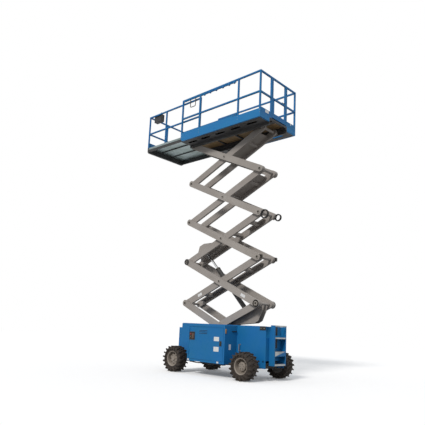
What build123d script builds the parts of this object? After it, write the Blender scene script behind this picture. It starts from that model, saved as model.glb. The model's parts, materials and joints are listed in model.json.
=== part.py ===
from build123d import *
from math import asin, atan2, cos, degrees, hypot, radians, sin
import os

# Rough-terrain scissor lift, millimetres, +X towards the steered end, +Y to the left, +Z up.
# The origin is under the middle of the whole machine's box, on the ground.

# Driving dimensions: running gear
axle_span = 2290
machine_width = 1750
tyre_radius = 330
tyre_width = 305
tread_depth = 22
rim_radius = 190
rim_wall = 9
lug_count = 18
steer_angle = 30

# Driving dimensions: overhangs from the middle between the axles
ladder_overhang = 1650
extension_overhang = 2900
platform_front_overhang = 1380
platform_rear_overhang = 1450
trough_rear_overhang = 1500
trough_front_overhang = 1415

# Driving dimensions: scissor stack
stage_count = 5
arm_length = 2686
arm_angle = 24.96
beam_depth = 172
beam_width = 60
stack_width = 682
lane_gap = 12
pin_radius = 35
front_pin_overhang = 1294
base_pin_height = 665
roller_radius = 40
web_plate = 8
web_slot = 75
stringer_half = 388
stringer_web = 10
head_radius = 50
head_thickness = 10

# Fits and clearances
pin_play = 0.05
seat_gap = 0.3
running_gap = 5
clear_gap = 12
cut_over = 1

# Places worked out from the driving dimensions
axle_mid_x = (ladder_overhang - extension_overhang) / 2
front_axle_x = axle_mid_x + axle_span / 2
rear_axle_x = axle_mid_x - axle_span / 2
tyre_y = (machine_width - tyre_width) / 2
axle_z = tyre_radius
bore_radius = pin_radius + pin_play
front_pin_x = axle_mid_x + front_pin_overhang
stage_run = arm_length * cos(radians(arm_angle))
stage_rise = arm_length * sin(radians(arm_angle))
rear_pin_x = front_pin_x - stage_run
middle_pin_x = front_pin_x - stage_run / 2
top_pin_z = base_pin_height + stage_count * stage_rise
stack_y = stack_width / 2
outer_lane_y = stack_y - beam_width / 2
inner_lane_y = outer_lane_y - beam_width - lane_gap
inner_face_y = inner_lane_y - beam_width / 2

os.makedirs("parts", exist_ok=True)


def block(x_span, y_span, z_span, mode=Mode.ADD):
    """Add a rectangular bar between three pairs of limits to the part being built."""
    centre = [sum(span) / 2 for span in (x_span, y_span, z_span)]
    with Locations(tuple(centre)):
        Box(x_span[1] - x_span[0], y_span[1] - y_span[0], z_span[1] - z_span[0], mode=mode)


def both_sides(near, far):
    """Give the two Y spans of a pair that mirrors across the machine's middle."""
    return ((near, far), (-far, -near))


def rod_y(x, z, y_span, radius, mode=Mode.ADD):
    """Add a round bar across the machine to the part being built."""
    with Locations(Location((x, sum(y_span) / 2, z), (90, 0, 0))):
        Cylinder(radius, y_span[1] - y_span[0], mode=mode)


def rod_z(x, y, z_span, radius, mode=Mode.ADD):
    """Add an upright round bar to the part being built."""
    with Locations((x, y, sum(z_span) / 2)):
        Cylinder(radius, z_span[1] - z_span[0], mode=mode)


def finish(piece, name):
    """Label a finished piece and write it to its own STEP file."""
    piece.label = name
    export_step(piece, f"parts/{name}.step")


# Chassis: an open trough of two side plates on a floor, closed at both ends.
trough_half = 375
trough_plate = 12
trough_bottom = 290
trough_top = 1260
trough_end_top = 1140
nose_step = 130
front_corner = 60
rear_plate_top = 1000
floor_top = 480
floor_plate = 10
end_plate_gap = 20
axle_notch_half = 150
axle_notch_top = 450
tie_hole_radius = 24
tie_hole_height = 450
tie_hole_inset = 70
tie_hole_pitch = 120
tie_boss_radius = 42
ledge_thickness = 10
upper_ledge_end = 150
trough_inner = trough_half - trough_plate
trough_rear_x = axle_mid_x - trough_rear_overhang
trough_front_x = axle_mid_x + trough_front_overhang
end_radius = beam_depth / 2
front_plate_x = front_pin_x + end_radius + end_plate_gap
ledge_inner = stack_y + running_gap

with BuildPart() as chassis_frame:
    for side in (1, -1):
        with BuildSketch(Plane.XZ.offset(-side * (trough_half - trough_plate / 2))):
            with BuildLine():
                Polyline(
                    (trough_rear_x, trough_bottom),
                    (trough_rear_x, trough_top),
                    (trough_front_x - nose_step, trough_top),
                    (trough_front_x - nose_step, trough_end_top),
                    (trough_front_x, trough_end_top),
                    (trough_front_x, trough_bottom + front_corner),
                    (trough_front_x - front_corner, trough_bottom),
                    close=True,
                )
            make_face()
            with Locations(*[(x, trough_bottom) for x in (front_axle_x, rear_axle_x)]):
                Rectangle(2 * axle_notch_half, 2 * (axle_notch_top - trough_bottom), mode=Mode.SUBTRACT)
            with Locations(*[
                (trough_rear_x + tie_hole_inset + i * tie_hole_pitch, tie_hole_height) for i in range(2)
            ]):
                Circle(tie_hole_radius, mode=Mode.SUBTRACT)
        extrude(amount=trough_plate / 2, both=True)
    block((trough_rear_x, trough_front_x), (-trough_inner, trough_inner), (floor_top - floor_plate, floor_top))
    block((trough_rear_x, trough_rear_x + floor_plate), (-trough_inner, trough_inner), (floor_top, rear_plate_top))
    block((front_plate_x, front_plate_x + floor_plate), (-trough_inner, trough_inner),
          (floor_top, trough_end_top))
    for y_span in both_sides(ledge_inner, trough_inner):
        for low, end in ((-roller_radius - seat_gap - ledge_thickness, 0), (roller_radius + running_gap, upper_ledge_end)):
            block((trough_rear_x + floor_plate, axle_mid_x - end), y_span,
                  (base_pin_height + low, base_pin_height + low + ledge_thickness))
    for y_span in both_sides(inner_lane_y + beam_width / 2 + running_gap, trough_inner):
        rod_y(front_pin_x, base_pin_height, y_span, head_radius)
    rod_y(front_pin_x, base_pin_height, (-trough_inner, trough_inner), pin_radius)
finish(chassis_frame.part, "chassis_frame")

# Axles: a housing under the trough with its carriers bolted up to the floor.
axle_depth = 110
axle_housing = 130
kingpin_y = 600
kingpin_radius = 20
yoke_half = 100
yoke_plate = 25
yoke_reach = 45
spindle_radius = 40
hub_y = 770
knuckle_gap = 2
carrier_half = 130
saddle_half = 60

for name, x, steered in (("front_axle", front_axle_x, True), ("rear_axle", rear_axle_x, False)):
    with BuildPart() as axle:
        reach = kingpin_y - yoke_reach - yoke_plate if steered else tyre_y - tyre_width / 2 - 2 * running_gap
        block((x - axle_depth / 2, x + axle_depth / 2), (-reach, reach),
              (axle_z - axle_housing / 2, axle_z + axle_housing / 2))
        rod_z(x, 0, (axle_z - axle_housing / 2, axle_z + axle_housing / 2), carrier_half)
        for y_span in both_sides(saddle_half * 3, trough_inner - clear_gap):
            block((x - saddle_half, x + saddle_half), y_span, (axle_z, floor_top - floor_plate - seat_gap))
        for side in (1, -1):
            if steered:
                block((x - yoke_reach, x + yoke_reach),
                      tuple(sorted((side * reach, side * (kingpin_y - yoke_reach)))),
                      (axle_z - yoke_half, axle_z + yoke_half))
                for low in (-yoke_half, yoke_half - yoke_plate):
                    block((x - yoke_reach, x + yoke_reach),
                          tuple(sorted((side * (kingpin_y - yoke_reach), side * (kingpin_y + yoke_reach)))),
                          (axle_z + low, axle_z + low + yoke_plate))
                with Locations((x, side * kingpin_y, axle_z)):
                    Cylinder(kingpin_radius, 2 * yoke_half)
            else:
                rod_y(x, axle_z, tuple(sorted((side * reach, side * hub_y))), spindle_radius)
    finish(axle.part, name)

# Steering knuckles: a block on the kingpin with the wheel's spindle.
knuckle_half = yoke_half - yoke_plate - knuckle_gap
knuckle_reach = 38
for name, side in (("knuckle_left", 1), ("knuckle_right", -1)):
    with BuildPart() as knuckle:
        rod_z(front_axle_x, side * kingpin_y, (axle_z - knuckle_half, axle_z + knuckle_half), knuckle_reach)
        rod_y(front_axle_x, axle_z, tuple(sorted((side * kingpin_y, side * hub_y))), spindle_radius)
        with Locations((front_axle_x, side * kingpin_y, axle_z)):
            Cylinder(kingpin_radius + pin_play, 2 * yoke_half, mode=Mode.SUBTRACT)
    finish(knuckle.part, name)

# Wheels: a lugged tyre on a dished rim, turned about the spindle.
tyre_shoulder = 40
tyre_bead = 235
tyre_sides = 18
lug_width = 34
lug_lean = 30
lug_root = 75
lug_overlap = 14
rim_width = 240
rim_lip = 14
disc_plate = 12
disc_bulge = 18
tyre_half = tyre_width / 2
tread_half = tyre_half - tyre_shoulder
carcass_radius = tyre_radius - tread_depth
lug_reach = lug_lean + lug_width / 2
lug_top = (tyre_radius**2 - lug_reach**2) ** 0.5
lug_phase = degrees(asin(lug_reach / tyre_radius))
lug_pitch = 360 / lug_count

# Columns: distance across from the tyre's middle, outer radius
tyre_rings = (
    (-rim_width / 2, tyre_bead),
    (-tyre_half, carcass_radius - 2 * tread_depth),
    (-tread_half, carcass_radius),
    (tread_half, carcass_radius),
    (tyre_half, carcass_radius - 2 * tread_depth),
    (rim_width / 2, tyre_bead),
)

with BuildPart() as tyre_form:
    for across, radius in tyre_rings:
        with BuildSketch(Plane(origin=(0, across, 0), z_dir=(0, 1, 0))):
            RegularPolygon(radius, tyre_sides)
    loft(ruled=True)
    with BuildSketch(Plane(origin=(0, 0, 0), z_dir=(0, 1, 0))):
        RegularPolygon(rim_radius + seat_gap, tyre_sides, major_radius=False)
    extrude(amount=tyre_half, both=True, mode=Mode.SUBTRACT)
    # chevron lugs, each leaning from the tread's middle back to the shoulder, staggered side to side
    for side in (1, -1):
        for index in range(lug_count):
            turn = index * lug_pitch + lug_phase + (side - 1) * lug_pitch / 4
            lug_plane = Plane(origin=(0, 0, 0), x_dir=(cos(radians(turn)), 0, -sin(radians(turn))),
                              z_dir=(sin(radians(turn)), 0, cos(radians(turn))))
            with BuildSketch(lug_plane.offset(carcass_radius - lug_root)):
                with BuildLine():
                    Polyline(
                        (lug_lean - lug_width / 2, -side * lug_overlap),
                        (lug_lean + lug_width / 2, -side * lug_overlap),
                        (-lug_lean + lug_width / 2, side * tyre_half),
                        (-lug_lean - lug_width / 2, side * tyre_half),
                        close=True,
                    )
                make_face()
            extrude(amount=lug_top - carcass_radius + lug_root)

# Columns: row, disc's place across, hub radius, hub face, cap radius, cap face
rim_forms = (
    ("front", front_axle_x, 12, 105, 54, 58, 84),
    ("rear", rear_axle_x, -12, 98, 58, 86, 68),
)

for row, x, disc_y, hub_radius, hub_face, cap_radius, cap_face in rim_forms:
    for hand, side in (("left", 1), ("right", -1)):
        with BuildPart() as tyre:
            with Locations((x, side * tyre_y, axle_z)):
                add(tyre_form.part)
        finish(tyre.part, f"tyre_{row}_{hand}")

        wheel_plane = Plane(origin=(x, side * tyre_y, axle_z), x_dir=(0, side, 0), z_dir=(side, 0, 0))
        hub_back = hub_y - tyre_y + pin_play
        with BuildPart() as rim:
            with BuildSketch(wheel_plane):
                with BuildLine():
                    Polyline(
                        (-rim_width / 2, rim_radius),
                        (rim_width / 2, rim_radius),
                        (rim_width / 2, rim_radius - rim_wall),
                        (rim_width / 2 - rim_lip, rim_radius - rim_wall - rim_lip),
                        (disc_y + disc_plate, rim_radius - 2 * rim_wall - rim_lip),
                        (disc_y + disc_plate + disc_bulge, hub_radius + disc_bulge),
                        (disc_y + disc_plate + disc_bulge, hub_radius),
                        (hub_face, hub_radius),
                        (hub_face, cap_radius),
                        (cap_face, cap_radius - disc_plate),
                        (cap_face, 0),
                        (hub_back, 0),
                        (hub_back, spindle_radius + pin_play),
                        (disc_y - disc_plate, spindle_radius + pin_play),
                        (disc_y - disc_plate, hub_radius),
                        (disc_y, rim_radius - 2 * rim_wall - rim_lip),
                        (-rim_width / 2, rim_radius - rim_wall),
                        close=True,
                    )
                make_face()
            revolve(axis=Axis((x, side * tyre_y, axle_z), (0, 1, 0)))
        finish(rim.part, f"rim_{row}_{hand}")

# Side trays: hollow boxes between the wheels, each closed by an outward-opening door.
tray_outer = 830
tray_rear_overhang = 630
tray_front_overhang = 840
tray_step_overhang = 610
tray_bottom = 330
tray_top = 1245
tray_step = 775
tray_wall = 8
door_gap = 6
door_plate = 20
door_sill = 380
door_head = 1180
door_edge = 45
tray_rear_x = axle_mid_x - tray_rear_overhang
tray_front_x = axle_mid_x + tray_front_overhang
tray_step_x = axle_mid_x + tray_step_overhang
door_rear_x = tray_rear_x + door_edge
door_front_x = tray_step_x - door_edge
hinge_radius = 9
hinge_leaf = 4
hinge_length = 60
hinge_share = (0.15, 0.8)
door_hinge_x = door_front_x - door_gap / 2
door_hinge_y = tray_outer + hinge_radius
door_hinge_heights = [door_sill + share * (door_head - door_sill) for share in hinge_share]

for hand, side in (("left", 1), ("right", -1)):
    with BuildPart() as tray:
        inner = trough_half + seat_gap
        with BuildSketch(Plane.XZ.offset(-side * (inner + tray_outer) / 2)) as tray_outline:
            with BuildLine():
                Polyline(
                    (tray_rear_x, tray_bottom),
                    (tray_rear_x, tray_top),
                    (tray_front_x, tray_top),
                    (tray_front_x, tray_step),
                    (tray_step_x, tray_step),
                    (tray_step_x, tray_bottom),
                    close=True,
                )
            make_face()
        extrude(amount=(tray_outer - inner) / 2, both=True)
        with BuildSketch(Plane.XZ.offset(-side * (inner + tray_outer) / 2)):
            add(tray_outline.sketch_local.faces())
            offset(amount=-tray_wall)
        extrude(amount=(tray_outer - inner) / 2 - tray_wall, both=True, mode=Mode.SUBTRACT)
        block((door_rear_x, door_front_x),
              tuple(sorted((side * (tray_outer - 2 * tray_wall), side * (tray_outer + tray_wall)))),
              (door_sill, door_head), mode=Mode.SUBTRACT)
        for height in door_hinge_heights:
            rod_z(door_hinge_x, side * door_hinge_y, (height, height + hinge_length), hinge_radius)
            block((door_hinge_x, door_hinge_x + door_edge / 2),
                  tuple(sorted((side * (tray_outer - tray_wall / 2), side * (tray_outer + hinge_leaf)))),
                  (height, height + hinge_length))
    finish(tray.part, f"tray_{hand}")

    with BuildPart() as door:
        faces = tuple(sorted((side * (tray_outer - door_plate), side * tray_outer)))
        block((door_rear_x + door_gap, door_front_x - door_gap), faces,
              (door_sill + door_gap, door_head - door_gap))
        for height in door_hinge_heights:
            low = height + hinge_length + seat_gap
            rod_z(door_hinge_x, side * door_hinge_y, (low, low + hinge_length), hinge_radius)
            block((door_hinge_x - door_edge / 2, door_hinge_x),
                  tuple(sorted((side * (tray_outer - hinge_leaf), side * (tray_outer + hinge_leaf)))),
                  (low, low + hinge_length))
    finish(door.part, f"door_{hand}")

# Inside the trays: the power unit on one side, the fuel and oil tank on the other.
unit_gap = 60
unit_height = 560
for name, side, height in (("engine_block", -1, unit_height), ("tank_block", 1, unit_height * 0.8)):
    with BuildPart() as unit:
        block((tray_rear_x + 2 * unit_gap, tray_step_x - 2 * unit_gap),
              tuple(sorted((side * (trough_half + unit_gap), side * (tray_outer - unit_gap)))),
              (tray_bottom + tray_wall + seat_gap, tray_bottom + tray_wall + height))
    finish(unit.part, name)

# Ladder on the rear end of the trough: two channel stiles with folded treads between them.
ladder_half = 238
ladder_plate = 8
ladder_top = 1292
ladder_foot = 360
stile_width = 30
stile_notch = 38
stile_notch_top = 120
tread_deep = 120
ladder_rear_x = axle_mid_x - ladder_overhang

# Columns: tread height, depth of its folded front lip
treads = (
    (405, 40),
    (690, 110),
    (1015, 32),
)

with BuildPart() as ladder:
    for y_span in both_sides(ladder_half - stile_width, ladder_half):
        block((ladder_rear_x, ladder_rear_x + ladder_plate), y_span, (ladder_foot, ladder_top))
    for y_span in both_sides(ladder_half - ladder_plate, ladder_half):
        with BuildSketch(Plane.XZ.offset(-sum(y_span) / 2)):
            with BuildLine():
                Polyline(
                    (ladder_rear_x, ladder_foot),
                    (ladder_rear_x, ladder_top),
                    (trough_rear_x - seat_gap - stile_notch, ladder_top),
                    (trough_rear_x - seat_gap - stile_notch, ladder_top - stile_notch_top),
                    (trough_rear_x - seat_gap, ladder_top - stile_notch_top - stile_notch),
                    (trough_rear_x - seat_gap, ladder_foot),
                    close=True,
                )
            make_face()
        extrude(amount=ladder_plate / 2, both=True)
    for height, lip in treads:
        block((ladder_rear_x, ladder_rear_x + tread_deep), (-ladder_half + ladder_plate, ladder_half - ladder_plate),
              (height - ladder_plate, height))
        block((ladder_rear_x, ladder_rear_x + ladder_plate), (-ladder_half + ladder_plate, ladder_half - ladder_plate),
              (height - lip, height))
    block((ladder_rear_x, ladder_rear_x + ladder_plate), (-ladder_half + ladder_plate, ladder_half - ladder_plate),
          (ladder_top - stile_width, ladder_top))
finish(ladder.part, "ladder")

# Scissor arms. Each arm is a pair of box beams; its local s runs from the front pin column on an
# inner arm, or from the rear one on an outer arm, and n stands square to it, upwards.
cross_tube = 90
tube_corner = 8
middle_head = 38
gusset_plate = 14
gusset_round = 45
ram_pin_along = 440
ram_pin_off = 260
ram_pin_radius = 30
ram_pin_gap = 45
gusset_outer = web_slot + gusset_plate
roller_end = stringer_half - stringer_web - seat_gap

# Columns: stage, first cross tube, second cross tube
inner_arms = (
    (1, 500, 1300),
    (2, 600, 2086),
    (3, 1650, 2250),
    (4, 1500, 2186),
    (5, 1300, 2086),
)

# Webs between the two beams. Columns: stage, start, end, half of the slot left open for the ram
arm_webs = (
    (1, 200, 2480, web_slot),
    (2, 200, 2480, web_slot),
    (3, 150, 1150, web_slot),
    (3, 1950, 2500, web_slot),
    (4, 1350, 2500, 0),
    (5, 1300, 2500, 0),
)

# Ram brackets on the webs. Columns: distance along the arm, height off it
lower_bracket = ((1400, 0), (1450, -40), (1910, -200), (2300, -338), (2427, -332), (2640, -150), (2670, 0))
upper_bracket = ((150, 0), (170, 80), (392, 330), (560, 322), (930, 155), (1100, 80), (1250, 0))


def arm_plane(stage, inner):
    """Give the plane of an arm: its origin on the lower pin, x along the arm, y square to it, upwards."""
    base_z = base_pin_height + (stage - 1) * stage_rise
    angle = radians(arm_angle)
    if inner:
        return Plane(origin=(front_pin_x, 0, base_z), x_dir=(-cos(angle), 0, sin(angle)), z_dir=(0, 1, 0))
    return Plane(origin=(rear_pin_x, 0, base_z), x_dir=(cos(angle), 0, sin(angle)), z_dir=(0, -1, 0))


for stage, tube_one, tube_two in inner_arms:
    plane = arm_plane(stage, True)
    rear_z = base_pin_height + stage * stage_rise
    with BuildPart() as arm:
        for side in (1, -1):
            with BuildSketch(plane.offset(side * inner_lane_y)):
                with Locations((arm_length / 2, 0)):
                    SlotCenterToCenter(arm_length, beam_depth)
                Circle(bore_radius, mode=Mode.SUBTRACT)
            extrude(amount=beam_width / 2, both=True)
        for along in (tube_one, tube_two):
            with BuildSketch(plane):
                with Locations((along, 0)):
                    RectangleRounded(cross_tube, cross_tube, tube_corner)
            extrude(amount=inner_face_y, both=True)
        for web_stage, start, end, slot in arm_webs:
            if web_stage == stage:
                for y_span in both_sides(slot, inner_face_y + cut_over):
                    with BuildSketch(plane.offset(sum(y_span) / 2)):
                        with Locations(((start + end) / 2, 0)):
                            Rectangle(end - start, web_plate)
                    extrude(amount=(y_span[1] - y_span[0]) / 2, both=True)
        # middle stub pins, out through the outer beams
        middle_z = rear_z - stage_rise / 2
        for y_span in both_sides(inner_lane_y, stack_y):
            rod_y(middle_pin_x, middle_z, y_span, pin_radius)
        for y_span in both_sides(stack_y + seat_gap, stack_y + seat_gap + head_thickness):
            rod_y(middle_pin_x, middle_z, y_span, middle_head)
        for y_span in both_sides(stack_y, stack_y + seat_gap + head_thickness):
            rod_y(middle_pin_x, middle_z, y_span, pin_radius)
        # rear column pin, out through the beams of the stage above or to the platform's rollers
        pin_end = stack_y + seat_gap + head_thickness if stage < stage_count else roller_end
        rod_y(rear_pin_x, rear_z, (-pin_end, pin_end), pin_radius)
        if stage < stage_count:
            for y_span in both_sides(stack_y + seat_gap, pin_end):
                rod_y(rear_pin_x, rear_z, y_span, head_radius)
        else:
            for y_span in both_sides(inner_lane_y, pin_end):
                rod_y(rear_pin_x, rear_z, y_span, roller_radius)
        for carrier, outline, lift, along in (
            (1, lower_bracket, -1, arm_length - ram_pin_along),
            (3, upper_bracket, 1, ram_pin_along),
        ):
            if carrier != stage:
                continue
            for side in (1, -1):
                with BuildSketch(plane.offset(side * (gusset_outer - gusset_plate / 2))) as bracket:
                    with BuildLine():
                        Polyline(*outline, close=True)
                    make_face()
                    fillet(bracket.vertices().sort_by(lambda corner: corner.Y * lift)[-2:], gusset_round)
                extrude(amount=gusset_plate / 2, both=True)
            spans = both_sides(ram_pin_gap, gusset_outer) if lift > 0 else ((-gusset_outer, gusset_outer),)
            pin_at = plane.from_local_coords((along, lift * ram_pin_off, 0))
            for y_span in spans:
                rod_y(pin_at.X, pin_at.Z, y_span, ram_pin_radius)
    finish(arm.part, f"inner_arm_{stage}")

for stage in range(1, stage_count + 1):
    plane = arm_plane(stage, False)
    base_z = base_pin_height + (stage - 1) * stage_rise
    with BuildPart() as arm:
        for side in (1, -1):
            with BuildSketch(plane.offset(side * outer_lane_y)):
                with Locations((arm_length / 2, 0)):
                    SlotCenterToCenter(arm_length, beam_depth)
                if stage > 1:
                    Circle(bore_radius, mode=Mode.SUBTRACT)
            extrude(amount=beam_width / 2, both=True)
        with BuildSketch(plane):
            with Locations((arm_length / 2, 0)):
                Circle(bore_radius)
        extrude(amount=stack_y + cut_over, both=True, mode=Mode.SUBTRACT)
        pin_end = stack_y + head_thickness if stage < stage_count else stack_y
        rod_y(front_pin_x, base_z + stage_rise, (-pin_end, pin_end), pin_radius)
        if stage == 1:
            for y_span in both_sides(outer_lane_y, trough_inner - seat_gap):
                rod_y(rear_pin_x, base_z, y_span, roller_radius)
    finish(arm.part, f"outer_arm_{stage}")

# Lift ram: a barrel on the first inner arm's gussets and a rod up to the third inner arm.
barrel_radius = 60
barrel_bore = 52
rod_radius = 32
piston_length = 90
piston_at = 762
barrel_length = 1880
eye_radius = 58
eye_half = 34
lower_plane = arm_plane(1, True)
upper_plane = arm_plane(3, True)
ram_foot = lower_plane.from_local_coords((arm_length - ram_pin_along, -ram_pin_off, 0))
ram_head = upper_plane.from_local_coords((ram_pin_along, ram_pin_off, 0))
ram_length = hypot(ram_head.X - ram_foot.X, ram_head.Z - ram_foot.Z)
ram_angle = atan2(ram_head.Z - ram_foot.Z, ram_head.X - ram_foot.X)
ram_dir = (cos(ram_angle), 0, sin(ram_angle))
ram_plane = Plane(origin=ram_foot, x_dir=(0, 1, 0), z_dir=ram_dir)

with BuildPart() as ram_barrel:
    with BuildSketch(ram_plane.offset(ram_pin_radius * 2)):
        Circle(barrel_radius)
    extrude(amount=barrel_length - ram_pin_radius * 2)
    rod_y(ram_foot.X, ram_foot.Z, (-eye_half, eye_half), eye_radius)
    with BuildSketch(ram_plane):
        Circle(eye_half)
    extrude(amount=ram_pin_radius * 3)
    rod_y(ram_foot.X, ram_foot.Z, (-eye_half, eye_half), ram_pin_radius + pin_play, mode=Mode.SUBTRACT)
    with BuildSketch(ram_plane.offset(ram_pin_radius * 4)):
        Circle(barrel_bore)
    extrude(amount=barrel_length - ram_pin_radius * 4 - piston_length / 2, mode=Mode.SUBTRACT)
    with BuildSketch(ram_plane.offset(barrel_length - piston_length / 2)):
        Circle(rod_radius + pin_play)
    extrude(amount=piston_length, mode=Mode.SUBTRACT)
finish(ram_barrel.part, "ram_barrel")

with BuildPart() as ram_rod:
    with BuildSketch(ram_plane.offset(piston_at)):
        Circle(rod_radius)
    extrude(amount=ram_length - piston_at)
    with BuildSketch(ram_plane.offset(piston_at)):
        Circle(barrel_bore - pin_play)
    extrude(amount=piston_length)
    rod_y(ram_head.X, ram_head.Z, (-eye_half, eye_half), eye_radius)
    rod_y(ram_head.X, ram_head.Z, (-eye_half, eye_half), ram_pin_radius + pin_play, mode=Mode.SUBTRACT)
finish(ram_rod.part, "ram_rod")

# Platform: two channel stringers over the stack, outriggers and side bands, a plain deck.
platform_half = 790
band_thickness = 40
band_lift = 23
band_depth = 220
band_step = 22
band_step_spot = -560
band_nose = 70
flange_thickness = 8
deck_plate = 6
deck_lift = 141
deck_half = 690
outrigger_depth = 30
outrigger_plate = 8
rib_depth = 35
rear_rib_depth = 50
rib_spots = (-700, -60, 600, 1340)
tray_lane = (60, 190)
pan_plate = 6
pan_slot_lane = 575
pan_slot_length = 330
pan_slot_width = 90
pan_slot_spots = (-1030, -490, 50, 590, 1090)
outrigger_spots = (-1300, -760, -220, 320, 860, 1320)
deck_under = top_pin_z + deck_lift
deck_top = deck_under + deck_plate
platform_front_x = axle_mid_x + platform_front_overhang
platform_rear_x = axle_mid_x - platform_rear_overhang
band_inner = platform_half - band_thickness
band_bottom = top_pin_z + band_lift
band_top = band_bottom + band_depth
band_step_x = axle_mid_x + band_step_spot

with BuildPart() as platform_frame:
    for side in (1, -1):
        # channel stringer, open inwards: it carries the front pin and guides the rear rollers
        with BuildSketch(Plane.YZ.offset(platform_rear_x)):
            with BuildLine():
                Polyline(
                    (side * stringer_half, deck_under),
                    (side * stringer_half, top_pin_z - roller_radius - seat_gap - flange_thickness),
                    (side * ledge_inner, top_pin_z - roller_radius - seat_gap - flange_thickness),
                    (side * ledge_inner, top_pin_z - roller_radius - seat_gap),
                    (side * (stringer_half - stringer_web), top_pin_z - roller_radius - seat_gap),
                    (side * (stringer_half - stringer_web), top_pin_z + roller_radius + running_gap),
                    (side * ledge_inner, top_pin_z + roller_radius + running_gap),
                    (side * ledge_inner, deck_under),
                    close=True,
                )
            make_face()
        extrude(amount=platform_front_x - platform_rear_x)
        # slotted pan under the outriggers
        block((platform_rear_x + band_thickness, platform_front_x),
              tuple(sorted((side * stringer_half, side * band_inner))), (band_bottom, band_bottom + pan_plate))
        with BuildSketch(Plane.XY.offset(band_bottom + pan_plate / 2)):
            with Locations(*[(axle_mid_x + spot, side * pan_slot_lane) for spot in pan_slot_spots]):
                SlotOverall(pan_slot_length, pan_slot_width)
        extrude(amount=pan_plate, both=True, mode=Mode.SUBTRACT)
        # outriggers from the stringer to the side band
        for spot in outrigger_spots:
            with BuildSketch(Plane.YZ.offset(axle_mid_x + spot)):
                with BuildLine():
                    Polyline(
                        (side * stringer_half, band_bottom),
                        (side * band_inner, band_bottom),
                        (side * band_inner, band_bottom + outrigger_depth),
                        (side * deck_half, band_bottom + outrigger_depth),
                        (side * deck_half, deck_under),
                        (side * stringer_half, deck_under),
                        close=True,
                    )
                make_face()
            extrude(amount=outrigger_plate / 2, both=True)
    for x in [platform_rear_x] + [axle_mid_x + spot for spot in rib_spots]:
        depth = rear_rib_depth if x == platform_rear_x else rib_depth
        block((x, x + band_thickness), (-ledge_inner, ledge_inner), (deck_under - depth, deck_under))
    block((platform_rear_x, axle_mid_x + rib_spots[-1] + band_thickness), tray_lane,
          (deck_under - rib_depth - pan_plate, deck_under - rib_depth))
    rod_y(front_pin_x, top_pin_z, (-stringer_half - cut_over, stringer_half + cut_over), bore_radius,
          mode=Mode.SUBTRACT)
finish(platform_frame.part, "platform_frame")

# Blue skirt of the platform: a stepped band down each side, returned across the rear corners.
for hand, side in (("left", 1), ("right", -1)):
    with BuildPart() as band:
        with BuildSketch(Plane.XZ.offset(-side * (band_inner + platform_half + seat_gap) / 2)):
            with BuildLine():
                Polyline(
                    (platform_rear_x, band_bottom),
                    (platform_rear_x, band_top),
                    (band_step_x, band_top),
                    (band_step_x + band_step, band_top + band_step),
                    (platform_front_x, band_top + band_step),
                    (platform_front_x, band_bottom + band_nose),
                    (platform_front_x - band_nose, band_bottom),
                    close=True,
                )
            make_face()
        extrude(amount=(band_thickness - seat_gap) / 2, both=True)
        block((platform_rear_x, platform_rear_x + band_thickness - seat_gap),
              tuple(sorted((side * (stringer_half + seat_gap), side * (band_inner + seat_gap)))), (band_bottom, deck_under))
    finish(band.part, f"platform_band_{hand}")

with BuildPart() as platform_deck:
    block((platform_rear_x + band_thickness, platform_front_x), (-deck_half, deck_half), (deck_under + seat_gap, deck_top))
finish(platform_deck.part, "platform_deck")

# Guard rails of the main platform.
rail_tube = 40
rail_height = 1131
rail_drop = 555
post_spots = (-1430, -720, 670, 1360)
gate_left = 280
gate_right = -330
gate_gap = 8
top_rail = deck_top + rail_height
mid_rail = top_rail - rail_drop
post_xs = [axle_mid_x + spot for spot in post_spots]
rail_y = platform_half - rail_tube / 2

for name, side in (("rails_left", 1), ("rails_right", -1)):
    with BuildPart() as rails:
        y_span = tuple(sorted((side * band_inner, side * platform_half)))
        for x in post_xs:
            foot = band_top + seat_gap + (band_step if x > band_step_x else 0)
            block((x - rail_tube / 2, x + rail_tube / 2), y_span, (foot, top_rail))
        for height in (mid_rail, top_rail):
            block((post_xs[0] - rail_tube / 2, post_xs[-1] + rail_tube / 2), y_span,
                  (height - rail_tube, height))
    finish(rails.part, name)

toe_height = 150
gate_hinge_x = platform_rear_x + rail_tube + hinge_radius
gate_hinge_y = gate_left + gate_gap / 2
gate_hinge_heights = [mid_rail - rail_tube / 2 - hinge_length, top_rail - rail_tube - 3 * hinge_length]
with BuildPart() as rails_rear:
    x_span = (platform_rear_x, platform_rear_x + rail_tube)
    for near, far in ((gate_left + gate_gap, band_inner - seat_gap), (-band_inner + seat_gap, gate_right - gate_gap)):
        for height in (mid_rail, top_rail):
            block(x_span, (near, far), (height - rail_tube, height))
        inner_post = near if near > 0 else far - rail_tube
        block(x_span, (inner_post, inner_post + rail_tube), (band_top, top_rail))
        block(x_span, (near, far), (deck_under + seat_gap, band_top + toe_height / 3))
    for height in gate_hinge_heights:
        rod_z(gate_hinge_x, gate_hinge_y, (height, height + hinge_length), hinge_radius)
        block((platform_rear_x + rail_tube / 2, gate_hinge_x), (gate_left + gate_gap, gate_left + rail_tube),
              (height, height + hinge_length))
        block((gate_hinge_x - hinge_leaf, gate_hinge_x), (gate_hinge_y, gate_left + rail_tube),
              (height, height + hinge_length))
finish(rails_rear.part, "rails_rear")

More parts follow.
